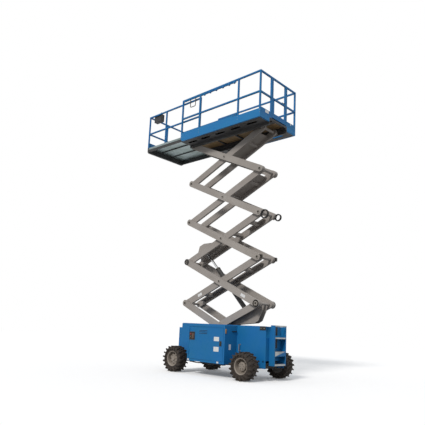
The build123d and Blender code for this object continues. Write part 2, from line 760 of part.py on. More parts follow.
with BuildPart() as gate:
    for height in (mid_rail, top_rail):
        block((platform_rear_x, platform_rear_x + rail_tube), (gate_right, gate_left), (height - rail_tube, height))
    for edge in (gate_right, gate_left - rail_tube):
        block((platform_rear_x, platform_rear_x + rail_tube), (edge, edge + rail_tube),
              (deck_top + 2 * clear_gap, top_rail))
    block((platform_rear_x, platform_rear_x + rail_tube), (gate_right, gate_left),
          (deck_top + 2 * clear_gap, deck_top + toe_height))
    for height in gate_hinge_heights:
        low = height + hinge_length + seat_gap
        rod_z(gate_hinge_x, gate_hinge_y, (low, low + hinge_length), hinge_radius)
        block((platform_rear_x + rail_tube / 2, gate_hinge_x), (gate_left - rail_tube / 2, gate_left),
              (low, low + hinge_length))
        block((gate_hinge_x - hinge_leaf, gate_hinge_x), (gate_left - rail_tube / 2, gate_hinge_y),
              (low, low + hinge_length))
finish(gate.part, "gate")

# Extension deck: side beams in the slots beside the deck, a ribbed plate over it, a front beam.
extension_rear = 650
extension_beam = 36
extension_beam_depth = 135
extension_plate = 4
extension_rib = 25
extension_rail_tube = 38
extension_rail_height = 1017
extension_rail_drop = 545
extension_toe = 177
extension_skirt = 60
skirt_plate = 3
front_beam = 60
front_beam_drop = 30
front_beam_corner = 35
extension_post_spots = (700, 2120)
rib_lane = 230
extension_front_x = axle_mid_x + extension_overhang
extension_rear_x = axle_mid_x + extension_rear
extension_post_xs = [axle_mid_x + spot for spot in extension_post_spots]
extension_post_xs.append(extension_front_x - extension_rail_tube / 2)
beam_outer = band_inner - clear_gap
beam_inner = beam_outer - extension_beam
extension_bottom = band_bottom + outrigger_depth + seat_gap
plate_under = deck_top + running_gap + extension_rib
plate_top = plate_under + extension_plate
extension_top_rail = plate_top + extension_rail_height
extension_mid_rail = extension_top_rail - extension_rail_drop
beam_end_x = extension_front_x - front_beam

with BuildPart() as extension_frame:
    for y_span in both_sides(beam_inner, beam_outer - skirt_plate - seat_gap):
        block((extension_rear_x, beam_end_x), y_span, (extension_bottom, plate_under - seat_gap))
    with BuildSketch(Plane.YZ.offset(beam_end_x)):
        with BuildLine():
            Polyline(
                (beam_outer, plate_top),
                (beam_outer, extension_bottom - front_beam_drop + front_beam_corner),
                (beam_outer - front_beam_corner, extension_bottom - front_beam_drop),
                (-beam_outer + front_beam_corner, extension_bottom - front_beam_drop),
                (-beam_outer, extension_bottom - front_beam_drop + front_beam_corner),
                (-beam_outer, plate_top),
                close=True,
            )
        make_face()
    extrude(amount=front_beam)
    for y_span in both_sides(rib_lane - extension_rib / 2, rib_lane + extension_rib / 2):
        block((extension_rear_x, beam_end_x), y_span, (plate_under - extension_rib, plate_under - seat_gap))
    block((extension_rear_x, extension_rear_x + extension_rib), (-beam_inner, beam_inner),
          (plate_under - extension_rib, plate_under - seat_gap))
finish(extension_frame.part, "extension_frame")

with BuildPart() as extension_deck:
    with BuildSketch(Plane.YZ.offset(extension_rear_x)):
        with BuildLine():
            Polyline(
                (beam_outer, plate_top),
                (beam_outer, plate_top - extension_skirt),
                (beam_outer - skirt_plate, plate_top - extension_skirt),
                (beam_outer - skirt_plate, plate_under),
                (-beam_outer + skirt_plate, plate_under),
                (-beam_outer + skirt_plate, plate_top - extension_skirt),
                (-beam_outer, plate_top - extension_skirt),
                (-beam_outer, plate_top),
                close=True,
            )
        make_face()
    extrude(amount=beam_end_x - seat_gap - extension_rear_x)
finish(extension_deck.part, "extension_deck")

with BuildPart() as extension_rails:
    for side in (1, -1):
        y_span = tuple(sorted((side * (beam_outer - extension_rail_tube), side * beam_outer)))
        for x in extension_post_xs:
            block((x - extension_rail_tube / 2, x + extension_rail_tube / 2), y_span,
                  (plate_top + seat_gap, extension_top_rail))
        for height in (extension_mid_rail, extension_top_rail):
            block((extension_post_xs[0] - extension_rail_tube / 2, extension_front_x), y_span,
                  (height - extension_rail_tube, height))
    for height in (extension_mid_rail, extension_top_rail):
        block((extension_front_x - extension_rail_tube, extension_front_x), (-beam_outer, beam_outer),
              (height - extension_rail_tube, height))
    block((extension_front_x - extension_rail_tube, extension_front_x),
          (-extension_rail_tube / 2, extension_rail_tube / 2), (plate_top + seat_gap, extension_top_rail))
    block((extension_front_x - extension_rail_tube / 2, extension_front_x - extension_rail_tube / 4),
          (-beam_outer, beam_outer), (plate_top + seat_gap, plate_top + extension_toe))
finish(extension_rails.part, "extension_rails")

# Controls: the operator's box on the extension rail and the ground box on the trough.
box_depth = 130
box_width = 300
box_height = 220
box_spot = 2560
with BuildPart() as platform_controls:
    centre_x = axle_mid_x + box_spot
    block((centre_x - box_width / 2, centre_x + box_width / 2),
          (beam_outer - extension_rail_tube - seat_gap - box_depth, beam_outer - extension_rail_tube - seat_gap),
          (extension_top_rail - box_height, extension_top_rail))
finish(platform_controls.part, "platform_controls")
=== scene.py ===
import bpy
import bmesh
import json
from math import cos, pi, radians, sin
from mathutils import Matrix, Vector
from mathutils.bvhtree import BVHTree


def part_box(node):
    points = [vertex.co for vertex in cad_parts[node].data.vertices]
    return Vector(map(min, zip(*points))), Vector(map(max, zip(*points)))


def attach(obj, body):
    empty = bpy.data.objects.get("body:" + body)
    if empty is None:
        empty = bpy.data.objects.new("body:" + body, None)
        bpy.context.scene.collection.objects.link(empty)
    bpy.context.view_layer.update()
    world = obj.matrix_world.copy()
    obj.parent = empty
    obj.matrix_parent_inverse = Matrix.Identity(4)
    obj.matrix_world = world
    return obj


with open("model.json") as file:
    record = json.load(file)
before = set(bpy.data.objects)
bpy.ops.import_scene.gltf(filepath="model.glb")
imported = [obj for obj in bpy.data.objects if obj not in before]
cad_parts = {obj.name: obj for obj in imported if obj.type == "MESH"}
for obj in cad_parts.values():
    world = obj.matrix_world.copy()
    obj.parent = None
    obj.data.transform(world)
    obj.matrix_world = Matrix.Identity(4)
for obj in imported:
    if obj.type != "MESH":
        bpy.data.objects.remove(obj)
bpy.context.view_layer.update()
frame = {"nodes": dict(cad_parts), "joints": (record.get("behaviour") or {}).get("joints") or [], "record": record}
nodes = frame["nodes"]
scene = bpy.context.scene
pins = {joint["name"]: Vector(joint["pos_m"]) for joint in frame["joints"] if "pos_m" in joint}


axleMiddle = sum(corner.x for axle in ("front_axle", "rear_axle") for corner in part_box(axle)) / 4
hands = (("left", 1), ("right", -1))
surfaces = {}  # the search tree of each CAD node that has been touched


def at(x, y, z):
    # a place whose x counts from half way between the axles
    return Vector((axleMiddle + x, y, z))


def stageFoot(stage):
    # the front pin at the foot of a pair of arms
    return pins["lift"] if stage == 1 else pins[f"fold_{stage - 1}"]


def rearColumn(joint):
    # the rear pin that is level with a front joint
    return Vector((2 * pins["cross_1"].x - pins["lift"].x, 0, pins[joint].z))


def touch(node, start, direction):
    # the first point of a CAD node that a line from start meets
    if node not in surfaces:
        mesh = nodes[node].data
        corners = [vertex.co for vertex in mesh.vertices]
        surfaces[node] = BVHTree.FromPolygons(corners, [polygon.vertices for polygon in mesh.polygons])
    return surfaces[node].ray_cast(Vector(start), Vector(direction))[0]


def hexToLinear(code):
    channels = [int(code[i:i + 2], 16) / 255 for i in (1, 3, 5)]
    return tuple(c / 12.92 if c <= 0.04045 else ((c + 0.055) / 1.055) ** 2.4 for c in channels) + (1.0,)


def addNode(tree, kind, settings=None, inputs=None, links=None):
    # settings are the node's own properties, inputs are socket values, links are (socket, node, output)
    node = tree.nodes.new(f"ShaderNode{kind}")
    for name, value in (settings or {}).items():
        setattr(node, name, value)
    for name, value in (inputs or {}).items():
        node.inputs[name].default_value = value
    for name, source, output in links or []:
        tree.links.new(source.outputs[output], node.inputs[name])
    return node


def newMaterial(name):
    material = bpy.data.materials.new(name)
    material.use_nodes = True
    material.node_tree.nodes.clear()
    return material, material.node_tree


def noiseNode(tree, place, scale, detail, roughness=0.5, output="Object"):
    inputs = {"Scale": scale, "Detail": detail, "Roughness": roughness}
    return addNode(tree, "TexNoise", inputs=inputs, links=[("Vector", place, output)])


def rampNode(tree, source, low, high, least=0.0, most=1.0, output="Fac"):
    # runs from least to most while the source runs from low to high
    inputs = {"From Min": low, "From Max": high, "To Min": least, "To Max": most}
    return addNode(tree, "MapRange", inputs=inputs, links=[("Value", source, output)])


def mixNode(tree, under, over, share, output="Result"):
    # one colour over another; the one under it is a colour code or the node of an earlier mix
    inputs, links = {"B": hexToLinear(over)}, [("Factor", share, output)]
    if isinstance(under, str):
        inputs["A"] = hexToLinear(under)
    else:
        links.append(("A", under, "Result"))
    return addNode(tree, "Mix", {"data_type": "RGBA"}, inputs, links)


def mapNode(tree, place, scale):
    return addNode(tree, "Mapping", inputs={"Scale": scale}, links=[("Vector", place, "Object")])


def closeMaterial(material, colour, relief, inputs, gloss=None):
    # relief gives the node and output that lift the surface, the strength and the depth in metres
    tree, (source, output, strength, depth) = material.node_tree, relief
    bump = addNode(tree, "Bump", inputs={"Strength": strength, "Distance": depth},
                   links=[("Height", source, output)])
    links = [("Base Color", colour, "Result"), ("Normal", bump, "Normal")]
    if gloss:
        links.append(("Roughness", gloss, "Result"))
    shader = addNode(tree, "BsdfPrincipled", inputs=inputs, links=links)
    addNode(tree, "OutputMaterial", links=[("Surface", shader, 0)])
    return material


# Powder coat: baked resin powder, an even film with slight orange peel, duller where dust settles
paintLook = {"dustSize": 0.6, "dust": (0.38, 0.72), "stainSize": 0.09, "stain": (0.6, 0.8, 0.0, 0.55),
             "rubbed": (0.55, 0.66), "gloss": (0.3, 0.8), "dullBy": 0.22, "peelSize": 0.004,
             "peelStrength": 0.06, "peelDepth": 0.001}


def coatedSteel(name, base, dusty, dark, roughness, wear, wearColour, ior=1.5):
    material, tree = newMaterial(name)
    place = addNode(tree, "TexCoord")
    broad = noiseNode(tree, place, 1 / paintLook["dustSize"], 5.0, 0.6)
    stain = noiseNode(tree, place, 1 / paintLook["stainSize"], 6.0, 0.7)
    colour = mixNode(tree, base, dusty, rampNode(tree, broad, *paintLook["dust"]))
    colour = mixNode(tree, colour, dark, rampNode(tree, stain, *paintLook["stain"]))
    # rubbed edges show primer and steel
    edge = addNode(tree, "NewGeometry")
    rubbed = rampNode(tree, edge, *paintLook["rubbed"], 0.0, wear, "Pointiness")
    colour = mixNode(tree, colour, wearColour, rubbed)
    gloss = rampNode(tree, stain, *paintLook["gloss"], roughness, roughness + paintLook["dullBy"])
    peel = noiseNode(tree, place, 1 / paintLook["peelSize"], 2.0)
    relief = (peel, "Fac", paintLook["peelStrength"], paintLook["peelDepth"])
    return closeMaterial(material, colour, relief, {"IOR": ior}, gloss)


# Rubber: moulded and matt, with dried dust in patches and a mould grain under 2 mm
rubberLook = {"patchSize": 0.045, "dust": (0.42, 0.78), "grainPerMetre": 600.0, "grainStrength": 0.25,
              "grainDepth": 0.001, "surface": {"Roughness": 0.82, "IOR": 1.52}}


def rubber(name, base, dusty, size=rubberLook["patchSize"]):
    material, tree = newMaterial(name)
    place = addNode(tree, "TexCoord")
    dust = noiseNode(tree, place, 1 / size, 7.0, 0.68)
    colour = mixNode(tree, base, dusty, rampNode(tree, dust, *rubberLook["dust"]))
    grain = noiseNode(tree, place, rubberLook["grainPerMetre"], 2.0)
    relief = (grain, "Fac", rubberLook["grainStrength"], rubberLook["grainDepth"])
    return closeMaterial(material, colour, relief, rubberLook["surface"])


# Bare metal: rolled, plated or cast, with scratches along the way it was drawn and a cloudy oxide film
metalLook = {"rolled": (6.0, 160.0, 160.0), "plated": (60.0, 60.0, 60.0), "cast": (50.0, 50.0, 50.0),
             "cloudPerMetre": 5.0, "cloud": (0.35, 0.7), "gloss": (0.3, 0.7), "shinier": 0.08,
             "duller": 0.12, "scratchStrength": 0.12, "scratchDepth": 0.0006}


def bareMetal(name, base, dull, roughness, grain, stretch=metalLook["rolled"]):
    material, tree = newMaterial(name)
    place = addNode(tree, "TexCoord")
    scratch = noiseNode(tree, mapNode(tree, place, stretch), grain, 4.0, output="Vector")
    cloud = noiseNode(tree, place, metalLook["cloudPerMetre"], 5.0)
    colour = mixNode(tree, base, dull, rampNode(tree, cloud, *metalLook["cloud"]))
    bright, worn = roughness - metalLook["shinier"], roughness + metalLook["duller"]
    gloss = rampNode(tree, scratch, *metalLook["gloss"], bright, worn)
    relief = (scratch, "Fac", metalLook["scratchStrength"], metalLook["scratchDepth"])
    return closeMaterial(material, colour, relief, {"Metallic": 1.0}, gloss)


# Plastic: injection moulded, even in colour, with a leather grain under 2 mm
plasticLook = {"grainPerMetre": 700.0, "cloudPerMetre": 30.0, "grainStrength": 0.15, "grainDepth": 0.0005,
               "ior": 1.53}


def mouldedPlastic(name, base, fleck, roughness):
    material, tree = newMaterial(name)
    place = addNode(tree, "TexCoord")
    grain = addNode(tree, "TexVoronoi", inputs={"Scale": plasticLook["grainPerMetre"]},
                    links=[("Vector", place, "Object")])
    cloud = noiseNode(tree, place, plasticLook["cloudPerMetre"], 4.0)
    relief = (grain, "Distance", plasticLook["grainStrength"], plasticLook["grainDepth"])
    colour = mixNode(tree, base, fleck, cloud, "Fac")
    return closeMaterial(material, colour, relief, {"Roughness": roughness, "IOR": plasticLook["ior"]})


# Deck board: birch plywood, pale rotary-cut veneer with long grain, stained by weather
plywoodLook = {"face": "#B99B72", "stain": "#8A7049", "grainWidth": 0.012, "grainLength": 0.4,
               "stained": (0.35, 0.7), "grainStrength": 0.2, "grainDepth": 0.001,
               "surface": {"Roughness": 0.62, "IOR": 1.5}}


def plywood():
    material, tree = newMaterial("birch plywood deck board")
    place = addNode(tree, "TexCoord")
    drawn = mapNode(tree, place, (1 / plywoodLook["grainLength"], 1 / plywoodLook["grainWidth"], 1.0))
    grain = noiseNode(tree, drawn, 1.0, 6.0, 0.65, "Vector")
    stained = rampNode(tree, grain, *plywoodLook["stained"])
    relief = (grain, "Fac", plywoodLook["grainStrength"], plywoodLook["grainDepth"])
    colour = mixNode(tree, plywoodLook["face"], plywoodLook["stain"], stained)
    return closeMaterial(material, colour, relief, plywoodLook["surface"])


# Anti-slip surface: rolled aluminium with raised studs every 25 mm, scuffed grey
studLook = {"pitch": 0.025, "stud": (0.15, 0.35, 1.0, 0.0), "studStrength": 0.6, "studHeight": 0.0015,
            "cloudPerMetre": 6.0, "base": "#7E8687", "scuff": "#5E6262",
            "surface": {"Metallic": 1.0, "Roughness": 0.48}}


def studdedMetal():
    material, tree = newMaterial("studded aluminium tread plate")
    place = addNode(tree, "TexCoord")
    stud = addNode(tree, "TexVoronoi", inputs={"Scale": 1 / studLook["pitch"], "Randomness": 0.0},
                   links=[("Vector", place, "Object")])
    height = rampNode(tree, stud, *studLook["stud"], "Distance")
    cloud = noiseNode(tree, place, studLook["cloudPerMetre"], 6.0, 0.7)
    relief = (height, "Result", studLook["studStrength"], studLook["studHeight"])
    colour = mixNode(tree, studLook["base"], studLook["scuff"], cloud, "Fac")
    return closeMaterial(material, colour, relief, studLook["surface"])


# the record's slots come first; coated ones give base, dusty and dark colour, roughness, wear, its colour
finishes = {
    "blue_paint": coatedSteel("poly blue powder-coated steel", "#0068A8", "#066A9C", "#04508C", 0.5, 0.12,
                              "#2F78AE", 1.45),
    "grey_paint": coatedSteel("warm grey painted steel", "#9D9792", "#8F8882", "#6E6660", 0.52, 0.25,
                              "#B9B3AA"),
    "rim_paint": coatedSteel("pale grey painted wheel steel", "#9E968D", "#857B71", "#5C5249", 0.5, 0.3,
                             "#756A5F"),
    "dark_paint": coatedSteel("black chassis paint on steel", "#24262B", "#34332F", "#15151A", 0.55, 0.25,
                              "#55514B"),
    "deck_metal": bareMetal("mill finish aluminium sheet", "#8E9A9C", "#76837F", 0.46, 3.0),
    "tread_rubber": rubber("tyre rubber", "#231D19", "#4A3F36"),
    "rod_chrome": bareMetal("hard chromed rod", "#D8D9DA", "#C2C4C6", 0.16, 1.0),
    "engine_iron": coatedSteel("painted cast iron", "#3A3C3E", "#4A4744", "#222325", 0.6, 0.3, "#6E6A64"),
    "control_plastic": mouldedPlastic("black moulded ABS", "#1D1E21", "#2A2B2E", 0.55),
    # from here on for added pieces and chosen faces
    # a lighter copy of the blue powder coat for the platform bands: a painted highlight on their lit side
    "bandBlueLit": coatedSteel("blue powder-coated toe plate with painted highlight", "#0070B0", "#0876AE", "#04589A", 0.5, 0.12,
                            "#3784B6", 1.45),
    "hose": rubber("braided hydraulic hose cover", "#17171A", "#2C2A28", 0.02),
    # dark rubber for buffers and pads, also used as painted shade in the louvre slots and behind the ladder treads
    "rubberAndShadeFill": rubber("rubber buffer and painted shade fill", "#1C1B1A", "#35312C", 0.03),
    "zinc": bareMetal("zinc plated fastener", "#B3B0A4", "#8C8878", 0.34, 2.0, metalLook["plated"]),
    "darkSteel": bareMetal("phosphated steel pin", "#4A4742", "#2E2C29", 0.42, 2.0, metalLook["plated"]),
    "castAlloy": bareMetal("sand-cast aluminium", "#A5A8A8", "#85898A", 0.5, 2.0, metalLook["cast"]),
    "vinyl": mouldedPlastic("white vinyl film", "#E9EAEA", "#D9DADB", 0.4),
    "amber": mouldedPlastic("amber reflector plastic", "#B98A4A", "#9C7338", 0.3),
    "redPlastic": mouldedPlastic("red moulded nylon", "#8E2320", "#74201C", 0.38),
    "brownPlastic": mouldedPlastic("brown phenolic moulding", "#5B4436", "#47352A", 0.5),
    "greyPlastic": mouldedPlastic("grey moulded nylon", "#7B7F84", "#6A6E73", 0.5),
    "plywood": plywood(),
    "studded": studdedMetal(),
}
for part in frame["record"]["subparts"]:
    node = part["node"]
    # the platform bands take the lighter blue, a painted highlight
    finish = finishes["bandBlueLit" if node.startswith("platform_band") else part["material_slot"]]
    nodes[node].data.materials.clear()
    nodes[node].data.materials.append(finish)


def giveFaces(node, finish, chosen):
    # a second finish on the faces of a CAD node whose middle and normal pass the test
    mesh = nodes[node].data
    mesh.materials.append(finish)
    for polygon in mesh.polygons:
        if chosen(polygon.center, polygon.normal):
            polygon.material_index = len(mesh.materials) - 1


giveFaces("platform_deck", finishes["plywood"], lambda middle, normal: normal.z < -0.5)
giveFaces("platform_deck", finishes["studded"], lambda middle, normal: normal.z > 0.5)
giveFaces("extension_deck", finishes["studded"], lambda middle, normal: normal.z > 0.5)
print("finishes done:", len(finishes))


def addBlock(form, low, high, rounding=0.002):
    # a bar between two opposite corners with rounded edges; gives the corners that no rounding leaves
    low, high = Vector(low), Vector(high)
    made = bmesh.ops.create_cube(form, size=1.0)["verts"]
    bmesh.ops.scale(form, verts=made, vec=[abs(reach) for reach in high - low])
    bmesh.ops.translate(form, verts=made, vec=(high + low) / 2)
    if rounding:
        edges = list({edge for corner in made for edge in corner.link_edges})
        bmesh.ops.bevel(form, geom=edges, offset=rounding, segments=2, profile=0.5, affect="EDGES",
                        material=-1)
    return made


def addBar(form, start, end, radius, endRadius=None, sides=16):
    start, end = Vector(start), Vector(end)
    reach, narrow = end - start, radius if endRadius is None else endRadius
    place = Matrix.Translation((start + end) / 2) @ reach.to_track_quat("Z", "Y").to_matrix().to_4x4()
    bmesh.ops.create_cone(form, cap_ends=True, segments=sides, radius1=radius, radius2=narrow,
                          depth=reach.length, matrix=place)


def addShapes(form, origin, side, blocks=(), bars=()):
    # blocks (corner, corner, rounding) and bars (start, end, radii, sides), measured outwards from origin
    def spot(place):
        return origin + Vector((place[0], side * place[1], place[2]))

    for first, second, rounding in blocks:
        addBlock(form, spot(first), spot(second), rounding)
    for start, end, radii, sides in bars:
        addBar(form, spot(start), spot(end), *radii, sides=sides)


def setShapes(name, finish, body, origin, side=1, blocks=(), bars=()):
    form = bmesh.new()
    addShapes(form, origin, side, blocks, bars)
    setPiece(name, form, finish, body)


def addRing(form, centre, axis, radius, barRadius, steps=40, sides=10):
    # a round bar bent into a ring about an axis
    place = Matrix.Translation(centre) @ Vector(axis).to_track_quat("Z", "Y").to_matrix().to_4x4()
    section = place @ Matrix.Translation((radius, 0, 0)) @ Matrix.Rotation(pi / 2, 4, "X")
    made = bmesh.ops.create_circle(form, segments=sides, radius=barRadius, matrix=section)["verts"]
    edges = list({edge for corner in made for edge in corner.link_edges})
    bmesh.ops.spin(form, geom=made + edges, cent=centre, axis=axis, angle=2 * pi, steps=steps,
                   use_merge=True)


def addBolt(form, foot, axis, size=0.012, head=0.008, washer=0.0025):
    # hexagon head on a round washer
    foot, axis = Vector(foot), Vector(axis).normalized()
    addBar(form, foot, foot + axis * washer, size * 1.15, sides=20)
    addBar(form, foot + axis * washer, foot + axis * (washer + head), size, size * 0.94, sides=6)


def setPiece(name, form, finish, body, sharp=38):
    bmesh.ops.remove_doubles(form, verts=form.verts, dist=1e-6)
    bmesh.ops.recalc_face_normals(form, faces=form.faces)
    mesh = bpy.data.meshes.new(name)
    form.to_mesh(mesh)
    form.free()
    mesh.materials.append(finishes[finish])
    mesh.shade_smooth()
    mesh.set_sharp_from_angle(angle=radians(sharp))
    piece = bpy.data.objects.new(name, mesh)
    scene.collection.objects.link(piece)
    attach(piece, body)


def setHose(name, points, radius, finish, body):
    # a hose that its clips hold all along: one smooth line through the given points
    curve = bpy.data.curves.new(name, "CURVE")
    curve.dimensions = "3D"
    curve.bevel_depth = radius
    curve.bevel_resolution = 3
    curve.use_fill_caps = True
    line = curve.splines.new("NURBS")
    line.points.add(len(points) - 1)
    for place, point in zip(line.points, points):
        place.co = (*point, 1.0)
    line.order_u = 3
    line.use_endpoint_u = True
    curve.materials.append(finishes[finish])
    piece = bpy.data.objects.new(name, curve)
    scene.collection.objects.link(piece)
    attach(piece, body)


wheelSet = {"nuts": 8, "nutSize": 0.010, "nutHead": 0.016, "coverBolts": 6, "boltSize": 0.007,
            "boltHead": 0.006, "valveSpot": 0.14, "valveLean": 0.012, "valveLength": 0.035,
            "valveRadii": (0.006, 0.004), "clear": 0.4}
wheelRows = {  # nut circle, cover bolt circle
    "front": (0.114, 0.082),
    "rear": (0.107, 0.056),
}


def makeWheelFittings():
    for row, (nutCircle, boltCircle) in wheelRows.items():
        for hand, side in hands:
            rim = f"rim_{row}_{hand}"
            low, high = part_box(rim)
            start, inwards = (low + high) / 2 + Vector((0, side * wheelSet["clear"], 0)), (0, -side, 0)
            form = bmesh.new()
            rows = ((nutCircle, wheelSet["nuts"], wheelSet["nutSize"], wheelSet["nutHead"]),
                    (boltCircle, wheelSet["coverBolts"], wheelSet["boltSize"], wheelSet["boltHead"]))
            for circle, count, size, head in rows:
                for index in range(count):
                    angle = 2 * pi * index / count
                    spot = Vector((circle * cos(angle), 0, circle * sin(angle)))
                    addBolt(form, touch(rim, start + spot, inwards), (0, side, 0), size, head)
            setPiece(f"wheelNuts_{row}_{hand}", form, "darkSteel", f"wheel_{row}_{hand}")
            form = bmesh.new()
            foot = touch(rim, start + Vector((wheelSet["valveSpot"], 0, 0)), inwards)
            tip = foot + Vector((wheelSet["valveLean"], side * wheelSet["valveLength"], 0))
            addBar(form, foot, tip, *wheelSet["valveRadii"], sides=12)
            setPiece(f"tyreValve_{row}_{hand}", form, "hose", f"wheel_{row}_{hand}")


makeWheelFittings()

pinSet = {"bolts": 3, "boltSize": 0.0066, "boltHead": 0.005, "boltCircle": 0.040, "firstBolt": 0.4,
          "end": (0.030, 0.027, 0.003), "cap": (0.022, 0.018, 0.006), "nub": (0.009, 0.008, 0.008)}


def addStub(form, foot, side, size, sides):
    # a low round or hexagon cap whose size is its foot radius, top radius and height
    wide, narrow, height = size
    addBar(form, foot, foot + Vector((0, side * height, 0)), wide, narrow, sides)


def makePinCaps():
    # a keeper bolt pattern on each pin head, and a dark stub in each middle pivot
    arms = [f"{lane}_arm_{stage}" for lane in ("inner", "outer") for stage in range(1, 6)]
    for arm in arms:
        bolts, stubs = bmesh.new(), bmesh.new()
        stage, inner = int(arm[-1]), arm.startswith("inner")
        lower, middle = stageFoot(stage), pins[f"cross_{stage}"]
        end = Vector((2 * middle.x - lower.x if inner else lower.x, 0, 2 * middle.z - lower.z))
        for side in (1, -1):
            clear, inwards = Vector((0, side, 0)), (0, -side, 0)
            if stage < 5:
                for index in range(pinSet["bolts"]):
                    angle = 2 * pi * index / pinSet["bolts"] + pinSet["firstBolt"]
                    ring = Vector((cos(angle), 0, sin(angle))) * pinSet["boltCircle"]
                    foot = touch(arm, end + ring + clear, inwards)
                    addBolt(bolts, foot, clear, pinSet["boltSize"], pinSet["boltHead"])
                addStub(stubs, touch(arm, end + clear, inwards), side, pinSet["end"], 24)
            if inner:
                foot = touch(arm, middle + clear, inwards)
                addStub(stubs, foot, side, pinSet["cap"], 24)
                addStub(stubs, foot, side, pinSet["nub"], 6)
        for name, form, finish in (("pinBolts", bolts, "zinc"), ("pinStubs", stubs, "darkSteel")):
            if form.verts:
                setPiece(f"{name}_{arm}", form, finish, arm)
            else:
                form.free()


makePinCaps()
print("wheel and pin fittings done")

guideSet = {"bar": 0.009, "foot": (0.012, 0.009, 0.02), "footReach": 0.006, "stayReach": 0.02,
            "stayTurn": 0.35}
# arm, joint it stands by, side, distance from the middle plane, ahead, above, ring radius, hose radius
guideRings = (
    ("outer_arm_4", "fold_3", 1, 0.306, -0.175, -0.070, 0.108, 0.0135),
    ("outer_arm_4", "fold_3", -1, 0.306, -0.150, -0.045, 0.088, 0.013),
    ("outer_arm_2", "fold_1", -1, 0.3515, -0.007, -0.003, 0.068, 0.007),
    ("outer_arm_2", "fold_1", 1, 0.3515, -0.007, -0.003, 0.068, 0.007),
)


def makeHoseGuides():
    # round steel hose guides welded behind the pin columns, with the hose loop that each one carries
    for index, (arm, joint, side, y, ahead, above, radius, hoseRadius) in enumerate(guideRings):
        centre = rearColumn(joint) + Vector((ahead, side * y, above))
        form = bmesh.new()
        addRing(form, centre, (0, 1, 0), radius, guideSet["bar"])
        reach = Vector((-ahead, 0, -above)).normalized()
        for spread in (-guideSet["stayTurn"], guideSet["stayTurn"]):
            turned = Matrix.Rotation(spread, 3, "Y") @ reach
            outer = centre + turned * (radius + guideSet["stayReach"])
            addBar(form, centre + turned * radius * 0.99, outer, guideSet["bar"], sides=10)
        foot, half = centre + reach * (radius + guideSet["footReach"]), Vector(guideSet["foot"])
        addBlock(form, foot - half, foot + half, 0.003)
        setPiece(f"hoseGuide_{index}", form, "darkSteel", arm)
        form = bmesh.new()
        lanes = (1, -1) if joint == "fold_3" else (0,)  # a hose on each face of the ring, or one round it
        for lane in lanes:
            loop = radius - hoseRadius * 0.5 if lane else radius + guideSet["bar"] + hoseRadius
            addRing(form, centre + Vector((0, lane * (guideSet["bar"] + hoseRadius * 0.8), 0)), (0, 1, 0),
                    loop, hoseRadius)
        setPiece(f"hoseLoop_{index}", form, "hose", arm)


frontGuideSet = {"y": 0.3495, "bar": 0.006, "radius": 0.066, "spread": 0.011, "ahead": 0.014}


def makeFrontGuide():
    # flat steel loop on the end of the second outer beam, which keeps the hoses off the pin
    for hand, side in hands:
        centre = pins["fold_2"] + Vector((frontGuideSet["ahead"], side * frontGuideSet["y"], 0.0))
        form = bmesh.new()
        for turn in (0, -1, 1):
            radius = frontGuideSet["radius"] + turn * frontGuideSet["spread"]
            addRing(form, centre, (0, 1, 0), radius, frontGuideSet["bar"])
        setPiece(f"frontGuide_{hand}", form, "hose", "outer_arm_2")


makeFrontGuide()
makeHoseGuides()

bracketSet = {"half": 0.04, "wall": 0.008, "depth": 0.05, "y": 0.311, "behind": -0.085, "above": 0.005,
              "lug": 0.012, "lugHalf": 0.02, "boltSize": 0.008, "boltHead": 0.006,
              "ends": ((0.016, 0.026), (-0.012, 0.030)), "endInwards": 0.012, "hoseRadius": 0.010}


def makeHoseBrackets():
    # open square carriers at the second rear column, each with two hose ends through it
    for hand, side in hands:
        place = (bracketSet["behind"], side * bracketSet["y"], bracketSet["above"])
        centre = rearColumn("fold_2") + Vector(place)
        half, wall, depth = bracketSet["half"], bracketSet["wall"], bracketSet["depth"] / 2
        form = bmesh.new()
        for direction in (1, -1):
            near, far = direction * half - wall, direction * half + wall
            addBlock(form, centre + Vector((-half, -depth, near)), centre + Vector((half, depth, far)))
            addBlock(form, centre + Vector((near, -depth, -half)), centre + Vector((far, depth, half)))
            foot = centre + Vector((direction * half * 0.55, side * depth, half))
            addBolt(form, foot, (0, side, 0), bracketSet["boltSize"], bracketSet["boltHead"])
        lug, end = bracketSet["lugHalf"], half + bracketSet["lug"]
        addBlock(form, centre + Vector((half, -lug, -lug)), centre + Vector((end, lug, lug)))
        setPiece(f"hoseBracket_{hand}", form, "darkSteel", "outer_arm_3")
        form = bmesh.new()
        for lift, reach in bracketSet["ends"]:
            middle = centre + Vector((0.0, -side * bracketSet["endInwards"], lift))
            addRing(form, middle, (0, 1, 0), reach, bracketSet["hoseRadius"], 28, 10)
        setPiece(f"hoseEnds_{hand}", form, "hose", "outer_arm_3")


makeHoseBrackets()

runSet = {
    "hoseRadius": 0.010, "gap": 0.024, "from": 0.16, "to": 0.9, "probe": 0.3, "wall": 0.060, "clear": 0.002,
    "above": 0.045, "sag": 0.004, "points": (0.0, 0.06, 0.3, 0.55, 0.8, 0.94, 1.0), "sagging": (0.3, 0.8),
    "ferruleRadius": 0.0135, "ferrule": (0.03, 0.012), "clips": 5, "clipHalf": 0.028,
    "clipBolt": (0.013, 0.006), "strapHalf": 0.034, "strapOut": 0.012, "strapRadius": 0.0035,
}


